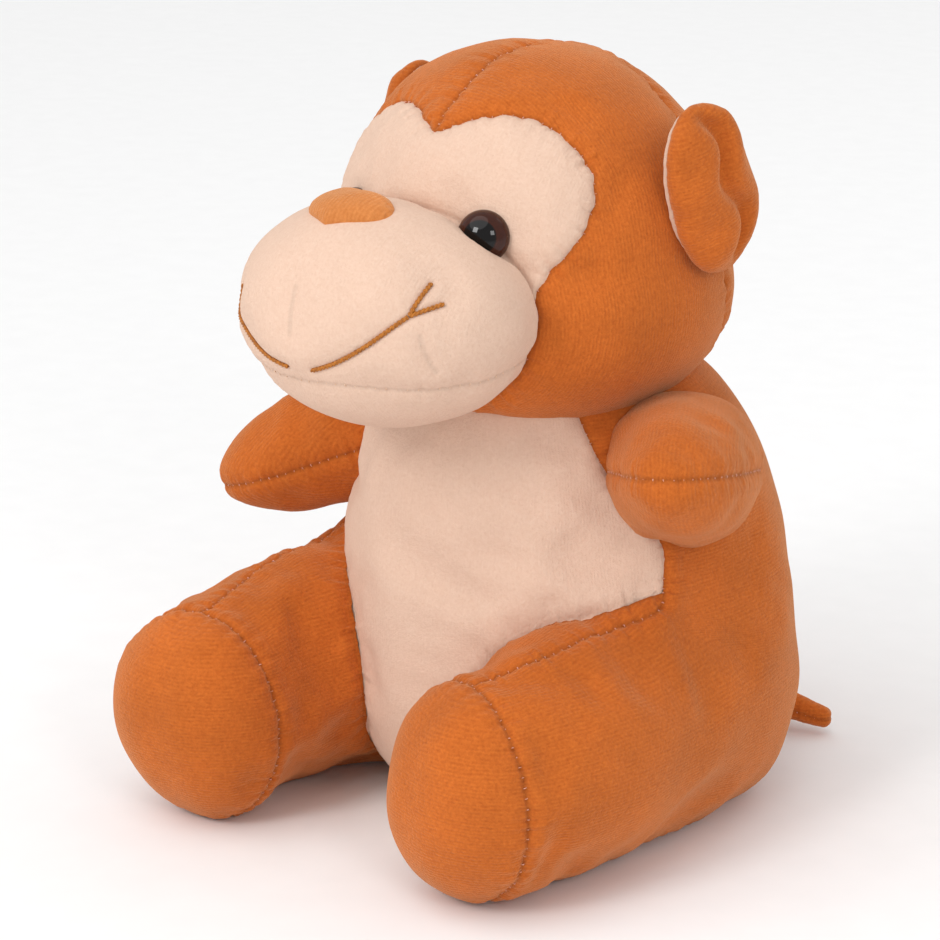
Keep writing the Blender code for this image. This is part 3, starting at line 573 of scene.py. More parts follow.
def stitches(name, lines, field, drift, look, lift=-0.5, length=1.0):
    # the short bars of thread that show in a seam
    thick = sewing["thread"]
    verts, faces = [], []
    for run in lines:
        at, _ = evenly(run, sewing["pitch"])
        if len(at) < 3:
            continue
        way, _ = uprightOn(field, at)
        along = unit(np.gradient(at, axis=0))
        across = unit(np.cross(way, along))
        at = at + drift(at)
        at[:, 2] = np.maximum(at[:, 2], 0.8)
        for p, n, a, t in zip(at, way, across, along):
            slant = a + t * draw.uniform(-0.35, 0.35)
            size = length * draw.uniform(0.7, 1.1)
            for s, h in ((-0.5, -0.25), (0, 0.15), (0.5, -0.25)):
                middle = p + slant * s * size + n * (lift + h)
                verts += [middle + thick * (math.cos(w) * n + math.sin(w) * t) for w in (0.8, 2.4, 3.9, 5.5)]
            b = len(verts) - 12
            for r in (0, 4):
                for i, j in ((0, 1), (1, 2), (2, 3), (3, 0)):
                    faces.append((b + r + i, b + r + j, b + r + 4 + j, b + r + 4 + i))
            faces += [(b, b + 3, b + 2, b + 1), (b + 8, b + 9, b + 10, b + 11)]
    return objectFrom(name, verts, faces, look)


# Materials
def colour(code):
    parts = [int(code[i:i + 2], 16) / 255 for i in (1, 3, 5)]
    return tuple(c / 12.92 if c < 0.04045 else ((c + 0.055) / 1.055) ** 2.4 for c in parts) + (1.0,)


def node(tree, kind, settings=None, links=None):
    made = tree.nodes.new("ShaderNode" + kind)
    for key, value in (settings or {}).items():
        if isinstance(key, int) or key in made.inputs.keys():
            made.inputs[key].default_value = value
        else:
            setattr(made, key, value)
    for key, source in (links or {}).items():
        output = source if isinstance(source, bpy.types.NodeSocket) else source.outputs[0]
        tree.links.new(output, made.inputs[key])
    return made


def newLook(name, **sockets):
    look = bpy.data.materials.new(name)
    look.use_nodes = True
    shader = look.node_tree.nodes["Principled BSDF"]
    for key, value in sockets.items():
        shader.inputs[key.replace("_", " ")].default_value = value
    return look, look.node_tree, shader


def velboa(name, tone, shade, ribs, sheen, nap, seamPaintedShade):
    # velboa: a warp-knitted backing with a sheared pile of about 1 mm. The knit's ribs show through the pile,
    # the pile's tips catch light at the edges, and brushing leaves broad paler and darker patches.
    look, tree, shader = newLook(name, Roughness=0.92, Specular_IOR_Level=0.25, IOR=1.5)
    shader.inputs["Sheen Weight"].default_value = sheen["weight"]
    shader.inputs["Sheen Roughness"].default_value = sheen["roughness"]
    shader.inputs["Sheen Tint"].default_value = colour(sheen["tint"])
    place = node(tree, "TexCoord")
    where = place.outputs["Object"]
    rib = node(tree, "Attribute", {"attribute_name": "ribs"}).outputs["Fac"]
    seam = node(tree, "Attribute", {"attribute_name": "seam"}).outputs["Fac"]
    wander = node(tree, "TexNoise", {"Scale": 190.0, "Detail": 3.0}, {"Vector": where})  # 5 mm
    drift = node(tree, "Math", {"operation": "MULTIPLY_ADD", 1: 6.5, 2: 0.0}, {0: wander.outputs["Fac"]})
    turns = node(tree, "Math", {"operation": "MULTIPLY_ADD", 1: 2 * math.pi / ribs["pitch"]},
                 {0: rib, 2: drift})
    wave = node(tree, "Math", {"operation": "SINE"}, {0: turns})
    pile = node(tree, "TexNoise", {"Scale": 900.0, "Detail": 4.0, "Roughness": 0.75}, {"Vector": where})
    clumps = node(tree, "TexNoise", {"Scale": 330.0, "Detail": 2.0}, {"Vector": where})  # 3 mm
    brushing = node(tree, "TexNoise", {"Scale": 34.0, "Detail": 3.0, "Roughness": 0.55}, {"Vector": where})
    fades = node(tree, "MapRange", {"From Min": 0.35, "From Max": 0.65, "To Min": 0.25}, {"Value": clumps})
    ribHeight = node(tree, "Math", {"operation": "MULTIPLY"}, {0: wave, 1: fades})
    height = node(tree, "Math", {"operation": "MULTIPLY_ADD", 1: ribs["height"]}, {0: ribHeight, 2: pile})
    ribTone = node(tree, "Math", {"operation": "MULTIPLY_ADD", 1: ribs["tone"]}, {0: ribHeight, 2: pile})
    toneAt = node(tree, "MapRange", {"From Min": 0.2, "From Max": 0.8}, {"Value": ribTone})
    fibres = node(tree, "Mix", {"data_type": "RGBA", 6: colour(shade), 7: colour(tone)}, {0: toneAt})
    napAt = node(tree, "MapRange", {"From Min": 0.3, "From Max": 0.7, "To Min": 1 - nap, "To Max": 1 + nap},
                 {"Value": brushing})
    brushed = node(tree, "HueSaturation", {}, {"Color": fibres.outputs[2], "Value": napAt})
    # painted shade: close to a seam the cloth's colour is darkened, as the shade that falls in the seam's
    # valley
    paintedSeamShade = node(tree, "MapRange", {"From Min": 0.1, "From Max": 1.2, "To Min": seamPaintedShade, "To Max": 1.0},
                  {"Value": seam})
    shadedNearSeams = node(tree, "HueSaturation", {}, {"Color": brushed, "Value": paintedSeamShade})
    tree.links.new(shadedNearSeams.outputs[0], shader.inputs["Base Color"])
    bump = node(tree, "Bump", {"Strength": 0.7, "Distance": 0.0006}, {"Height": height})
    tree.links.new(bump.outputs[0], shader.inputs["Normal"])
    return look


# the last value of each is how dark the painted seam shade makes the cloth
orangeCloth = velboa("velboaOrange", "#D07029", "#A84E14", {"pitch": 1.05, "height": 0.12, "tone": 0.075},
                     {"weight": 0.5, "roughness": 0.4, "tint": "#FFCFA0"}, 0.11, 0.74)
creamCloth = velboa("velboaCream", "#E3C5B1", "#D6B29B", {"pitch": 1.05, "height": 0.06, "tone": 0.03},
                    {"weight": 0.35, "roughness": 0.35, "tint": "#FFE6D2"}, 0.03, 0.87)
# painted highlight: the nose patch is the same orange plush, given a paler copy of its colour for the sheen it
# shows
noseClothPaintedSheen = velboa("velboaOrangePaintedSheen", "#D98C4E", "#BC6C30", {"pitch": 1.05, "height": 0.12, "tone": 0.09},
                   {"weight": 0.5, "roughness": 0.4, "tint": "#FFD9B0"}, 0.11, 0.74)  # paler than the other orange: painted sheen, where the pile catches light at a grazing angle


def threadLook(name, tone, shade, pitch):
    # spun polyester thread: twisted plies that shine a little along their length
    look, tree, shader = newLook(name, Roughness=0.55, Specular_IOR_Level=0.4, IOR=1.5)
    where = node(tree, "TexCoord").outputs["Object"]
    plies = node(tree, "TexNoise", {"Scale": 1 / pitch, "Detail": 2.0}, {"Vector": where})
    at = node(tree, "MapRange", {"From Min": 0.35, "From Max": 0.65}, {"Value": plies})
    mixed = node(tree, "Mix", {"data_type": "RGBA", 6: colour(shade), 7: colour(tone)}, {0: at})
    tree.links.new(mixed.outputs[2], shader.inputs["Base Color"])
    bump = node(tree, "Bump", {"Strength": 0.5, "Distance": 0.0002}, {"Height": plies})
    tree.links.new(bump.outputs[0], shader.inputs["Normal"])
    return look


orangeThread = threadLook("polyesterThreadOrange", "#EDC0B4", "#C98458", 0.0006)
creamThread = threadLook("polyesterThreadCream", "#F0D0B4", "#D8AC8A", 0.0006)
mouthThread = threadLook("embroideryThreadBrown", "#B8701E", "#96560F", 0.0009)


def eyeLook():
    # moulded acrylic safety eye: a dark brown ring under a clear, polished dome with a black middle
    look, tree, shader = newLook("acrylicEyeBrown", Roughness=0.05, IOR=1.49, Specular_IOR_Level=0.32)
    ring = node(tree, "Attribute", {"attribute_name": "ring"}).outputs["Fac"]
    where = node(tree, "TexCoord").outputs["Object"]
    mottle = node(tree, "TexNoise", {"Scale": 900.0, "Detail": 2.0}, {"Vector": where})
    brown = node(tree, "Mix", {"data_type": "RGBA", 6: colour("#2E1208"), 7: colour("#421A0B")},
                 {0: mottle.outputs["Fac"]})
    edge = node(tree, "MapRange", {"From Min": 0.60, "From Max": 0.66}, {"Value": ring})
    mixed = node(tree, "Mix", {"data_type": "RGBA", 6: colour("#050303")}, {0: edge, 7: brown.outputs[2]})
    tree.links.new(mixed.outputs[2], shader.inputs["Base Color"])
    return look


eyePlastic = eyeLook()


def mottledLook(name, shade, tone, noise, **sockets):
    look, tree, shader = newLook(name, **sockets)
    spots = node(tree, "TexNoise", noise, {"Vector": node(tree, "TexCoord").outputs["Object"]})
    mixed = node(tree, "Mix", {"data_type": "RGBA", 6: colour(shade), 7: colour(tone)},
                 {0: spots.outputs["Fac"]})
    tree.links.new(mixed.outputs[2], shader.inputs["Base Color"])
    return look


# moulded nylon: waxy, and slightly uneven in its white
nylon = mottledLook("nylonWasher", "#D8D8D2", "#E6E6E0", {"Scale": 250.0}, Roughness=0.45, IOR=1.53)


# A stuffed part, from its shape to its named panels
def makePart(name, field, box, cuts, panelOf, panels, shape, more=(), seam=(1.0, 1.0), calm=None):
    # panels: each one's name, material and ribs. shape: how far handling has moved the cloth.
    # more: other sewn lines. seam, and their second values: how deep a line draws in and how much it crumples.
    low, high = box
    points, tris = skinOf(field, low, high, meshing["fine"])
    for line in cuts:
        points, tris = cutAlong(points, tris, line)
    runs = seamRuns(points, tris, panelOf(points[tris].mean(1)))
    lines = [r for _, r in runs] + [line for line, _ in more]
    depths = [seam] * len(runs) + [depth for _, depth in more]
    skin, moved = stuff(field, low, high, lines)
    far, _, _ = closest(points, lines)
    points, tris = finerNear(points, tris, field, far)
    panel = panelOf(points[tris].mean(1))
    normals, _ = uprightOn(field, points)
    push, far = sewn(points, normals, lines, depths)

    def drift(p):
        # how far stuffing and handling have moved the cloth there
        still = 1 if calm is None else calm(p)[:, None]
        return carried(p, skin, moved) * still + uprightOn(field, p)[0] * shape(p)[:, None]

    shown = points + drift(points) + normals * push[:, None]
    shown[:, 2] = (shown[:, 2] + np.hypot(shown[:, 2], 0.7)) / 2  # pressed flat where it rests on the floor
    made = {}
    for i, (piece, look, ribs) in panels.items():
        own = tris[panel == i]
        used, index = np.unique(own, return_inverse=True)
        marks = {"ribs": ribs(points[used]), "seam": far[used]}
        made[piece] = objectFrom(piece, shown[used], index.reshape(-1, 3), look, marks)
    print(f"{name}: {len(tris)} triangles, {len(made)} panels, {len(runs)} seams")
    return made, runs, drift


def place(piece, body, nodes, slot, fill=None):
    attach(piece, body)
    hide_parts(*nodes)


def thread(name, runs, field, drift, body, look=orangeThread, lift=-0.5):
    piece = stitches(name, [r for _, r in runs], field, drift, look, lift)
    place(piece, body, [], "seam_thread")


def arcX(p):
    # distance round the head from its middle
    return 59 * np.arcsin(np.clip(p[:, 0] / 59, -1, 1))


def arcY(p):
    return 59 * np.arcsin(np.clip((p[:, 1] + 4) / 62, -1, 1))


# Head
def faceAngles(p):
    e = unit((p - head["centre"]) / head["radii"])
    return np.arccos(np.clip(-e[:, 1], -1, 1)), np.arctan2(e[:, 2], np.abs(e[:, 0])), e


def maskLine(p):
    a, rise, e = faceAngles(p)
    edge = np.radians(through(np.degrees(rise), *head["maskAngles"]))
    wave = head["scallop"] * np.sin(rise * 42)
    return (a - edge) * 59 + wave


def backLine(p):
    a, rise, e = faceAngles(p)
    wide, drop = head["backSeam"]
    return (a - np.radians(wide + drop * np.maximum(0, -np.sin(rise)) ** 2)) * 59


def headPanel(c):
    return np.where(maskLine(c) < 0, 0, np.where(backLine(c) > 0, 3, np.where(c[:, 0] > 0, 1, 2)))


def middleLine(p):
    return p[:, 0]


eyeShape = {
    "radius": 8.0,
    "height": 6.0,
    "aim": (24.5, -51.5, 10.5),  # the left one's way from the head's centre
    "sink": 0.2,
    "shank": 2.0,  # its radius
    "pull": 1.3,  # how far the shank draws the cloth in
}
eyeSpots = {}
for side, sign in signs.items():
    aim = unit(np.array(eyeShape["aim"]) * (sign, 1, 1))
    eyeSpots[side] = (head["centre"] + aim * headReach(aim[None])[0], aim)


def nearEyes(p):
    # the shank pulls the face in round each eye
    total = np.zeros(len(p))
    for spot, _ in eyeSpots.values():
        d = np.linalg.norm(p - spot, axis=-1)
        total -= eyeShape["pull"] * np.exp(-((d / 9.5) ** 2))
    return total


def muzzleCrease():
    # the line where the muzzle is sewn to the face
    turn = np.linspace(0, 2 * math.pi, 260)
    out = []
    for t in turn:
        low, high = 0.3, 2.9
        way = np.array((math.cos(t), 0, math.sin(t)))
        for _ in range(24):
            mid = (low + high) / 2
            d = np.array([way * math.sin(mid) + np.array((0, -math.cos(mid), 0))]) * muzzle["radii"]
            p = settle(muzzleField, muzzle["centre"] + d, 2)
            if headField(p)[0] > 0:
                low = mid
            else:
                high = mid
        out.append(p[0])
    return np.array(out)


crease = muzzleCrease()
print("muzzle crease found")


def headShape(p):
    return nearEyes(p) + 0.5 * bumpNoise(p, 26, 3)


headPanels = {
    0: ("faceMask", creamCloth, arcX),
    1: ("headSideLeft", orangeCloth, arcY),
    2: ("headSideRight", orangeCloth, arcY),
    3: ("headBack", orangeCloth, arcX),
}
made, headRuns, headDrift = makePart(
    "head", headField, ((-66, -68, 120), (66, 60, 248)), (maskLine, backLine, middleLine),
    headPanel, headPanels, headShape, [(crease, (1.3, 0.25))])
place(made["faceMask"], "head", ["face_mask"], "cream_plush")
place(made["headSideLeft"], "head", ["head_side_left"], "orange_plush", 0.9)
place(made["headSideRight"], "head", ["head_side_right"], "orange_plush", 0.9)
place(made["headBack"], "head", ["head_back", "head_filling"], "orange_plush", 0.9)
thread("headSeamStitches", headRuns, headField, headDrift, "head")


# Muzzle
def chinLine(p):
    back = np.clip((p[:, 1] - muzzle["centre"][1]) / 42, -1, 1)
    return p[:, 2] - muzzle["centre"][2] - muzzle["chinSeam"] - muzzle["chinLift"] * np.maximum(0, back + 0.4)


def muzzlePanel(c):
    return np.where(chinLine(c) > 0, 0, 1)


def onMuzzle(x, z):
    # points on the front of the muzzle at a given distance from its middle and height above its centre
    x, z = np.atleast_1d(x).astype(float), np.atleast_1d(z).astype(float)
    r = muzzle["radii"]
    y = -np.sqrt(np.maximum(0.02, 1 - (x / r[0]) ** 2 - (z / r[2]) ** 2)) * r[1]
    return settle(muzzleField, muzzle["centre"] + np.stack([x, y, z], -1), 3)


mouth = {
    "gap": 4.6,  # from the middle to where each thread starts
    "corner": 32.2,
    "bends": {"left": 0.95, "right": 0.38},  # the smile is a little crooked
    "tines": ((1.4, 8.1), (5.7, 2.9)),  # the two short threads at each corner: outwards and up
    "thread": 0.62,  # its radius
    "twist": 2.6,
    "lift": 0.05,
}


def mouthPaths(side):
    # the long thread and its two tines
    wide, _, tall = muzzle["radii"]
    sign, bend = signs[side], mouth["bends"][side]
    x = np.linspace(mouth["gap"] / wide, mouth["corner"] / wide, 26)
    smile = onMuzzle(sign * x * wide, (-0.345 + bend * x * x + 0.17 * x) * tall)
    start = smile[-1] - muzzle["centre"]
    t = np.linspace(0, 1, 8)
    return [smile] + [onMuzzle(start[0] + sign * a * t, start[2] + b * t) for a, b in mouth["tines"]]


mouthLines = {side: mouthPaths(side) for side in signs}
dartLines = [onMuzzle(g * np.linspace(37.0, 35.0, 12), np.linspace(-8.5, 2.5, 12)) for g in signs.values()]
frontLine = onMuzzle(np.full(20, -1.5), np.linspace(0, 13, 20))
muzzleExtra = [(crease, (1.3, 0.2)), (frontLine, (0.12, 0.0))] + [(d, (0.4, 0.2)) for d in dartLines]
muzzleExtra += [(line, (0.7, 0.0)) for lines in mouthLines.values() for line in lines]


nose = {
    "width": 27.5,
    "depth": 18.5,
    "tilt": 25.0,  # degrees forwards from the muzzle's top
    "raise": 3.4,
    "bridge": 3.0,  # how much the muzzle swells under it
}
noseTilt = math.radians(nose["tilt"])
noseSpot = muzzle["centre"] + muzzle["radii"] * np.array((0, -math.sin(noseTilt), math.cos(noseTilt)))


def muzzleShape(p):
    bridge = np.linalg.norm(p - noseSpot, axis=-1)
    return 0.45 * bumpNoise(p, 20, 5) + 2.6 * nearEyes(p) + nose["bridge"] * np.exp(-((bridge / 17) ** 2))


muzzlePanels = {0: ("muzzleUpper", creamCloth, arcX), 1: ("chin", creamCloth, arcX)}
made, muzzleRuns, muzzleDrift = makePart(
    "muzzle", muzzleField, ((-52, -118, 136), (52, -22, 212)), (chinLine,), muzzlePanel, muzzlePanels,
    muzzleShape, muzzleExtra, (0.42, 0.35))
place(made["muzzleUpper"], "head", ["muzzle_upper", "muzzle_filling"], "cream_plush", 0.9)
place(made["chin"], "head", ["chin"], "cream_plush", 0.9)
thread("chinSeamStitches", muzzleRuns, muzzleField, muzzleDrift, "head", creamThread, -0.25)


def embroidery(name, paths):
    # two twisted strands of thread, laid on the cloth along each path
    radius = mouth["thread"]
    verts, faces = [], []
    for path in paths:
        at, along = evenly(path, 0.5)
        way, _ = uprightOn(muzzleField, at)
        across = np.cross(way, unit(np.gradient(at, axis=0)))
        at = at + muzzleDrift(at)
        rise = mouth["lift"] * np.clip(np.minimum(along, along[-1] - along) / 1.5, -0.4, 1)  # its ends dip
        for strand in (0, math.pi):
            twist = along * 2 * math.pi / mouth["twist"] + strand
            ring = at + way * (rise + 0.35 * radius * np.cos(twist))[:, None]
            ring = ring + across * (0.5 * radius * np.sin(twist))[:, None]
            first = len(verts)
            for p, n, a in zip(ring, way, across):
                verts += [p + 0.72 * radius * (math.cos(w) * n + math.sin(w) * a)
                          for w in np.arange(8) * math.pi / 4]
            for i in range(len(ring) - 1):
                b = first + 8 * i
                faces += [(b + j, b + (j + 1) % 8, b + 8 + (j + 1) % 8, b + 8 + j) for j in range(8)]
            last = first + 8 * (len(ring) - 1)
            faces += [tuple(range(first + 7, first - 1, -1)), tuple(range(last, last + 8))]
    return objectFrom(name, verts, faces, mouthThread)


for side in signs:
    piece = embroidery(f"mouthStitch{side.title()}", mouthLines[side])
    place(piece, "head", [f"mouth_stitch_{side}"], "mouth_thread")


def ringFaces(rings, count, first=0):
    # triangles between rings of points; in a fan round its middle, the first ring is a single spot
    tris = []
    for i in range(rings):
        for j in range(count):
            k = (j + 1) % count
            a, b, c, d = i * count + j, i * count + k, (i + 1) * count + k, (i + 1) * count + j
            tris += [(a, c, b), (a, d, c)] if i >= first else [(a, d, c)]
    return tris


def makeNose():
    # a rounded patch of cloth sewn on top of the muzzle, wide behind and narrow in front
    rings, sectors = 22, 120
    wide, deep = nose["width"] / 2 / muzzle["radii"][0], nose["depth"] / 2 / muzzle["radii"][1]
    points = []
    for i in range(rings + 1):
        for j in range(sectors):
            b = 2 * math.pi * j / sectors
            reach = 1 / math.hypot(math.cos(b) / wide, math.sin(b) / deep)
            a = reach * (1 - 0.32 * math.sin(b) * abs(math.cos(b))) * i / rings
            d = np.array((math.sin(a) * math.cos(b), -math.sin(a) * math.sin(b), math.cos(a)))
            y = d[1] * math.cos(noseTilt) - d[2] * math.sin(noseTilt)
            z = d[1] * math.sin(noseTilt) + d[2] * math.cos(noseTilt)
            points.append(np.array((d[0], y, z)) * muzzle["radii"])
    points = settle(muzzleField, muzzle["centre"] + np.array(points), 3)
    share = np.repeat(np.linspace(0, 1, rings + 1), sectors)
    turns = np.tile(np.arange(sectors) * 2 * math.pi / sectors, rings + 1)
    normals, _ = uprightOn(muzzleField, points)
    roundOff = np.sqrt(np.clip(1 - share**3, 0, 1)) * nose["raise"] + 0.25 * bumpNoise(points, 5, 9)
    tuck = -0.35 * np.exp(-(((share - 0.9) / 0.05) ** 2)) * (0.5 + 0.5 * np.sin(turns * 26))
    shown = points + muzzleDrift(points) + normals * (roundOff + tuck - 0.35)[:, None]
    marks = {"ribs": points[:, 0], "seam": 1.2 + 7 * (1 - share)}
    # the patch wears the paler orange, which is painted sheen
    piece = objectFrom("nosePatch", shown, ringFaces(rings, sectors, 1), noseClothPaintedSheen, marks)
    place(piece, "head", ["nose_patch"], "orange_plush")


makeNose()


# Eyes
def makeEye(side):
    spot, aim = eyeSpots[side]
    spot = spot + 0.8 * headDrift(spot[None])[0] + 0.8 * aim
    across = unit(np.cross(aim, up))
    high = np.cross(across, aim)
    base = 0.75 - eyeShape["sink"]
    radius, shank = eyeShape["radius"], eyeShape["shank"]
    profile = [(base + eyeShape["height"] * math.cos(t), radius * math.sin(t))
               for t in np.linspace(0.0, math.pi / 2, 26)]
    profile += [(base - 0.5, radius - 0.1), (base - 0.9, radius - 0.6),  # the dome's rim
                (base - 0.9, shank), (base - 5.5, shank), (base - 5.5, 0.0)]
    count = 64
    points, ring = [], []
    for h, r in profile:
        for j in range(count):
            w = 2 * math.pi * j / count
            points.append(spot + aim * h + max(r, 0.001) * (math.cos(w) * across + math.sin(w) * high))
            ring.append(r / radius)
    tris = ringFaces(len(profile) - 1, count)
    piece = objectFrom(f"eye{side.title()}", points, tris, eyePlastic, {"ring": np.array(ring)})
    place(piece, "head", [f"eye_{side}"], "eye_plastic")
    washer = frame["nodes"][f"eye_washer_{side}"]  # it stays as it is, inside the head
    washer.data.materials.clear()
    washer.data.materials.append(nylon)


for side in signs:
    makeEye(side)
print("face finished")


# Torso and legs
def aroundTorso(p):
    return np.arctan2(p[:, 0], -(p[:, 1] - torsoAxisY(p[:, 2])))


def sideLine(p):
    # the long seam of the side panel: down the belly's edge, then along the top of the leg
    belly = (np.abs(aroundTorso(p)) - np.radians(through(p[:, 2], *torso["bellyEdge"]))) * 66
    line = belly
    for side in signs:
        own = np.sign(p[:, 0]) == signs[side]
        past, out, t = legPlace(p, side)
        top = out - leg["topSeam"][0] * ramp(0.0, 0.3, t) - leg["topSeam"][1] * ramp(0.35, 0.7, t)
        onLeg = ramp(-5, 5, torsoField(p) - legField(p, side))
        # under the leg the same seam runs back along the floor
        line = np.where(own, belly * (1 - onLeg) + top * onLeg, line)
    return line


def nearLeg(p, measure):
    # a measure of the leg on the same side as each point
    return np.where(p[:, 0] > 0, measure(p, "left"), measure(p, "right"))


def legOut(p, side):
    return legPlace(p, side)[1]


def groinLine(p):
    # the crease between belly and leg. Near the hip the leg's cloth runs on until it lies on the belly
    return torsoField(p) - nearLeg(p, legField) + 8.0 * ramp(-4, 22, nearLeg(p, legOut))


def soleLine(p):
    out = np.full(len(p), 50.0)
    for side, sign in signs.items():
        toe, bend, _ = legLine(side)
        back = unit(bend - toe)
        s = (p[:, :2] - toe) @ back - leg["soleSeam"]
        out = np.where(np.sign(p[:, 0]) == sign, s, out)
    return np.where(p[:, 1] < -45, out, 50.0)


def lowerPanel(c):
    # 0 is the belly, which is made on its own; then side and leg, inner leg and sole, the left one first
    onLeg = groinLine(c) > 0
    kind = np.where(sideLine(c) > 0, 1, np.where(onLeg, 2, 0))
    kind = np.where((soleLine(c) < 0) & onLeg, 3, kind)
    return np.where(kind == 0, 0, kind * 2 - (c[:, 0] > 0))


def ribsLower(p):
    # level ribs: by height on the body and the foot, and round the leg along its length
    rise = p[:, 2] - leg["height"] / 2
    turn = np.arctan2(rise, nearLeg(p, legOut)) * leg["width"] / 2
    return rise + (turn - rise) * ramp(-3, 3, torsoField(p) - nearLeg(p, legField))


def ribsInner(p):
    return np.arctan2(p[:, 2] - leg["height"] / 2, -nearLeg(p, legOut)) * leg["width"] / 2


def ribsLevel(p):
    return p[:, 2]


def lowerShape(p):
    # broad slack in the stuffed cloth, and folds that fan out from the groin
    folds = np.exp(-((groinLine(p) / 9.0) ** 2)) * np.sin(np.arctan2(p[:, 2] - 30, p[:, 1] + 10) * 9)
    return 0.9 * bumpNoise(p, 34, 21) + 0.35 * bumpNoise(p, 13, 22) + 0.6 * folds * ramp(80, 60, p[:, 2])


lowerKinds = (("sideAndLeg", ribsLower), ("legInner", ribsInner), ("footSole", ribsLevel))
lowerPanels = {
    2 * i + 1 + j: (kind + side.title(), orangeCloth, ribs)
    for i, (kind, ribs) in enumerate(lowerKinds) for j, side in enumerate(signs)
}
made, lowerRuns, lowerDrift = makePart(
    "torso and legs", lowerBody, ((-108, -122, -4), (106, 96, 170)),
    (middleLine, groinLine, sideLine, soleLine), lowerPanel, lowerPanels, lowerShape,
    calm=lambda p: 1 - 0.6 * np.exp(-((sideLine(p) / 7.0) ** 2)))
for side in signs:
    for kind, nodes in (("sideAndLeg", (f"torso_side_{side}", f"leg_outer_{side}", f"leg_filling_{side}")),
                        ("legInner", (f"leg_inner_{side}",)), ("footSole", (f"foot_sole_{side}",))):
        piece = made[kind + side.title()]
        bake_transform(piece)
        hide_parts(*nodes)


tuck = 6.5  # the belly's edge runs on under the side panels and the legs


def bellyEdge(p):
    return (np.abs(aroundTorso(p)) - np.radians(through(p[:, 2], *torso["bellyEdge"]))) * 66


def bellyShape(p):
    return 0.7 * bumpNoise(p, 34, 21) - 2.4 * ramp(-0.3, 3.0, bellyEdge(p))


def bellyField(p):
    # the belly's cloth lifts with the fillets round the legs, so that it meets the side panels
    plain = torsoField(p)
    near = ramp(-9, -2, bellyEdge(p)) * ramp(62, 76, p[:, 2])
    under = 0.3 + 3.2 * ramp(-1.0, 2.0, groinLine(p))
    return plain - near * np.clip(plain - lowerBody(p) - under, 0, 5.5)


edgeRuns = [r for pair, r in lowerRuns if pair[0] == 0]
bellyPanels = {0: ("bellyPanel", creamCloth, lambda p: aroundTorso(p) * 68)}
made, _, _ = makePart(
    "belly", bellyField, ((-82, -66, -4), (82, 96, 170)), (lambda p: bellyEdge(p) - tuck,),
    lambda c: np.where(bellyEdge(c) < tuck, 0, 1), bellyPanels, bellyShape,
    [(r, (0.8, 0.7)) for r in edgeRuns], (0.0, 0.0), lambda p: 1 - ramp(-7.0, 0.0, bellyEdge(p)))
place(made["bellyPanel"], "torso", ["belly_panel", "torso_filling"], "cream_plush", 0.85)


def sewLower():
    # the seams' threads move with the cloth they hold
    body = [((a, b), run) for (a, b), run in lowerRuns if b in (1, 2)]
    thread("bodySeamStitches", body, lowerBody, lowerDrift, "torso")
    for i, side in enumerate(signs):
        runs = [run for (a, b), run in lowerRuns if a and (b - a) % 2 == 0 and a % 2 != i]
        piece = stitches(f"legSeamStitches{side.title()}", runs, lowerBody, lowerDrift, orangeThread)
        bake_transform(piece)


sewLower()


# Arms
def makeArm(side):
    root, _ = armFrame(side)
    body, title = f"arm_{side}", side.title()

    def field(p):
        return armField(p, side)

    def seam(p):
        return armPlace(p, side)[:, 2]

    def ribs(p):
        return 24 * np.arcsin(np.clip(armPlace(p, side)[:, 1] / 26, -1, 1))

    def shape(p):
        return 0.7 * bumpNoise(p, 22, 31 + signs[side]) + 0.25 * bumpNoise(p, 9, 33)

    panels = {0: (f"armUpper{title}", orangeCloth, ribs), 1: (f"armLower{title}", orangeCloth, ribs)}
    made, runs, drift = makePart(
        f"{side} arm", field, (root - arm["room"], root + arm["room"]), (seam,),
        lambda c: np.where(seam(c) > 0, 0, 1), panels, shape, seam=(0.8, 0.5))
    place(made[f"armUpper{title}"], body, [f"arm_upper_{side}", f"arm_filling_{side}"], "orange_plush", 0.85)
    place(made[f"armLower{title}"], body, [f"arm_lower_{side}"], "orange_plush", 0.85)
    thread(f"armSeamStitches{title}", runs, field, drift, body)


for side in signs:
    makeArm(side)


# Ears
def makeEar(side):
    centre, axes = earFrame(side)
    body, title = f"ear_{side}", side.title()

    def field(p):
        return earField(p, side)

    def local(p, axis):
        return ((p - centre) @ axes.T)[:, axis]

    def seam(p):
        return local(p, 1) - ear["seam"]

    panels = {0: (f"earBack{title}", orangeCloth, lambda p: local(p, 2)),
              1: (f"earFront{title}", creamCloth, lambda p: local(p, 0))}
    made, runs, drift = makePart(
        f"{side} ear", field, (centre - ear["room"], centre + ear["room"]), (seam,),
        lambda c: np.where(seam(c) > 0, 0, 1), panels, lambda p: 0.5 * bumpNoise(p, 14, 41 + signs[side]),
        seam=(0.7, 0.3))
    place(made[f"earBack{title}"], body, [f"ear_back_{side}"], "orange_plush", 0.6)
    place(made[f"earFront{title}"], body, [f"ear_front_{side}"], "cream_plush", 0.6)
    thread(f"earSeamStitches{title}", runs, field, drift, body)


for side in signs:
    makeEar(side)


# Tail
def makeTail():
    span = tail["tip"] - tail["root"]

    def seam(p):
        t = np.clip((p - tail["root"]) @ span / (span @ span), 0, 1)
        return p[:, 2] - tail["root"][2] - t * span[2]

    made, runs, drift = makePart(
        "tail", tailField, ((-13, 70, 0), (58, 104, 28)), (seam,), lambda c: np.where(seam(c) > 0, 0, 1),
        {0: ("tailUpper", orangeCloth, ribsLevel), 1: ("tailLower", orangeCloth, ribsLevel)},
        lambda p: 0.35 * bumpNoise(p, 10, 51), seam=(0.5, 0.3))
    place(made["tailUpper"], "tail", ["tail_upper", "tail_filling"], "orange_plush", 0.7)
    place(made["tailLower"], "tail", ["tail_lower"], "orange_plush", 0.7)
    thread("tailSeamStitches", runs, tailField, drift, "tail")


makeTail()


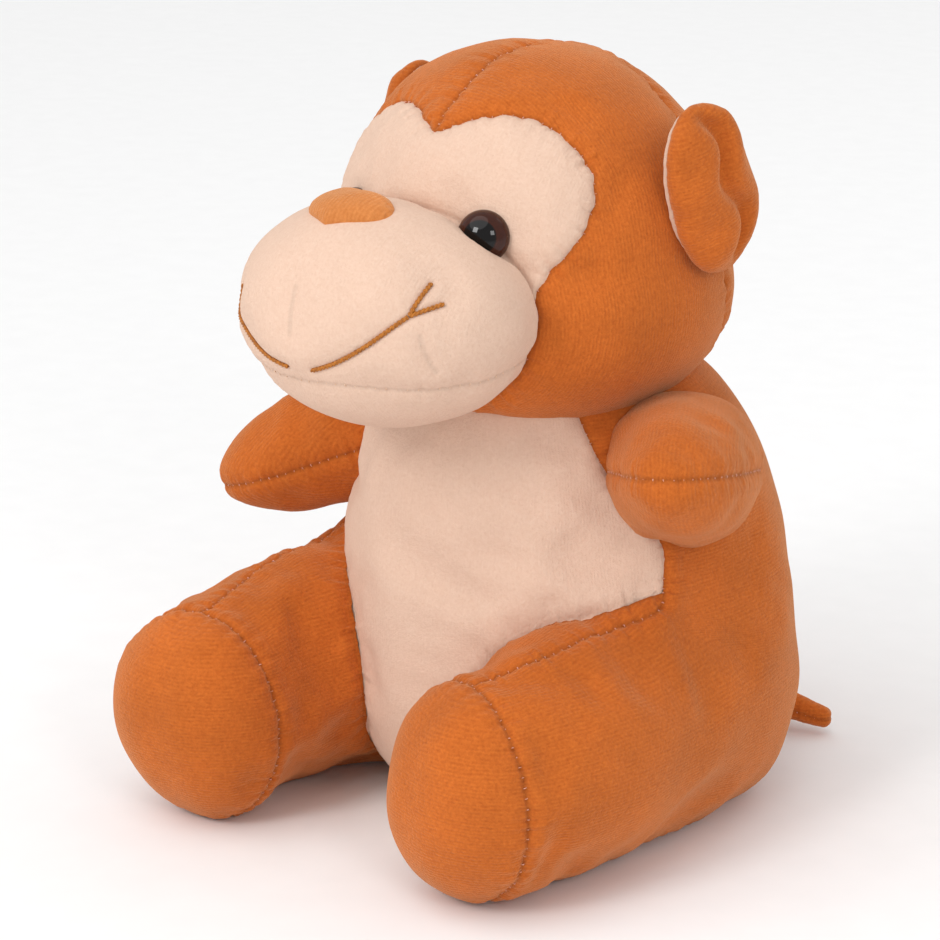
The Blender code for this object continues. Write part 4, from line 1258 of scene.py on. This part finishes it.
# Neck
def makeNeck():
    # the ladder stitch that closes the neck, deep in the crease between head and body
    turn = np.linspace(0, 2 * math.pi, 120, endpoint=False)
    ring = np.stack([34 * np.sin(turn), 2 - 34 * np.cos(turn), 133 + 0 * turn], -1)
    ring = settle(torsoField, ring, 4)
    piece = stitches("neckSeamThread", [np.concatenate([ring, ring[:1]])], torsoField, lambda p: p * 0,
                     orangeThread, lift=0.3, length=3.0)
    place(piece, "neck", ["neck_seam_thread", "neck_filling"], "seam_thread")


makeNeck()
print("all the pieces are made")

# Floor, light and camera
studio = {"floor": "#F6F6F6", "world": 0.71, "seen": 1.0, "key": 6.4, "fill": 3.5, "rim": 2.0, "sun": 0.97}


def makeFloor():
    # painted board, matt and nearly white
    paint = mottledLook("mattPaintWhite", "#F1F1F1", studio["floor"], {"Scale": 60.0, "Detail": 3.0},
                        Roughness=0.8, IOR=1.45)
    s, z = 4000.0, -0.1
    corners = [(-s, -s, z), (s, -s, z), (s, s, z), (-s, s, z)]
    objectFrom("floorBoard", corners, [(0, 1, 2, 3)], paint)


makeFloor()


def makeLight(name, power, size, where, target):
    lamp = bpy.data.lights.new(name, "AREA")
    lamp.energy, lamp.shape, lamp.size = power, "SQUARE", size
    obj = bpy.data.objects.new(name, lamp)
    bpy.context.scene.collection.objects.link(obj)
    obj.location = where
    obj.rotation_euler = (Vector(target) - Vector(where)).to_track_quat("-Z", "Y").to_euler()


middle = (0, 0, 0.12)
sky = bpy.data.lights.new("ceilingPanel", "SUN")  # a big even light that keeps the floor pale far out
sky.energy, sky.angle = studio["sun"], math.radians(60)
skyLamp = bpy.data.objects.new("ceilingPanel", sky)
bpy.context.scene.collection.objects.link(skyLamp)
skyLamp.rotation_euler = (math.radians(32), 0, math.radians(-12))
makeLight("keySoftbox", studio["key"], 0.42, (-0.1, -1.4, 0.95), middle)
makeLight("fillSoftbox", studio["fill"], 0.38, (1.25, -0.75, 0.8), middle)
makeLight("backSoftbox", studio["rim"], 1.0, (0.4, 1.3, 1.3), middle)

world = bpy.data.worlds.new("whiteRoom")
bpy.context.scene.world = world
world.use_nodes = True
tree = world.node_tree
back = tree.nodes["Background"]
back.inputs["Color"].default_value = (1, 1, 1, 1)
seen = node(tree, "LightPath")
level = node(tree, "MapRange", {"To Min": studio["world"], "To Max": studio["seen"]},
             {"Value": seen.outputs["Is Camera Ray"]})
tree.links.new(level.outputs[0], back.inputs["Strength"])

lens = bpy.data.cameras.new("camera")
lens.lens, lens.sensor_width = 120.0, 36.0
camera = bpy.data.objects.new("camera", lens)
bpy.context.scene.collection.objects.link(camera)
target = Vector((0.0, -0.033, 0.1145))
turn, rise, distance = math.radians(40), math.radians(17), 0.979
behind = Vector((math.sin(turn) * math.cos(rise), -math.cos(turn) * math.cos(rise), math.sin(rise)))
camera.location = target + behind * distance
camera.rotation_euler = (-behind).to_track_quat("-Z", "Y").to_euler()
bpy.context.scene.camera = camera
bpy.context.scene.view_settings.view_transform = "Standard"  # colours come out as their hex values say
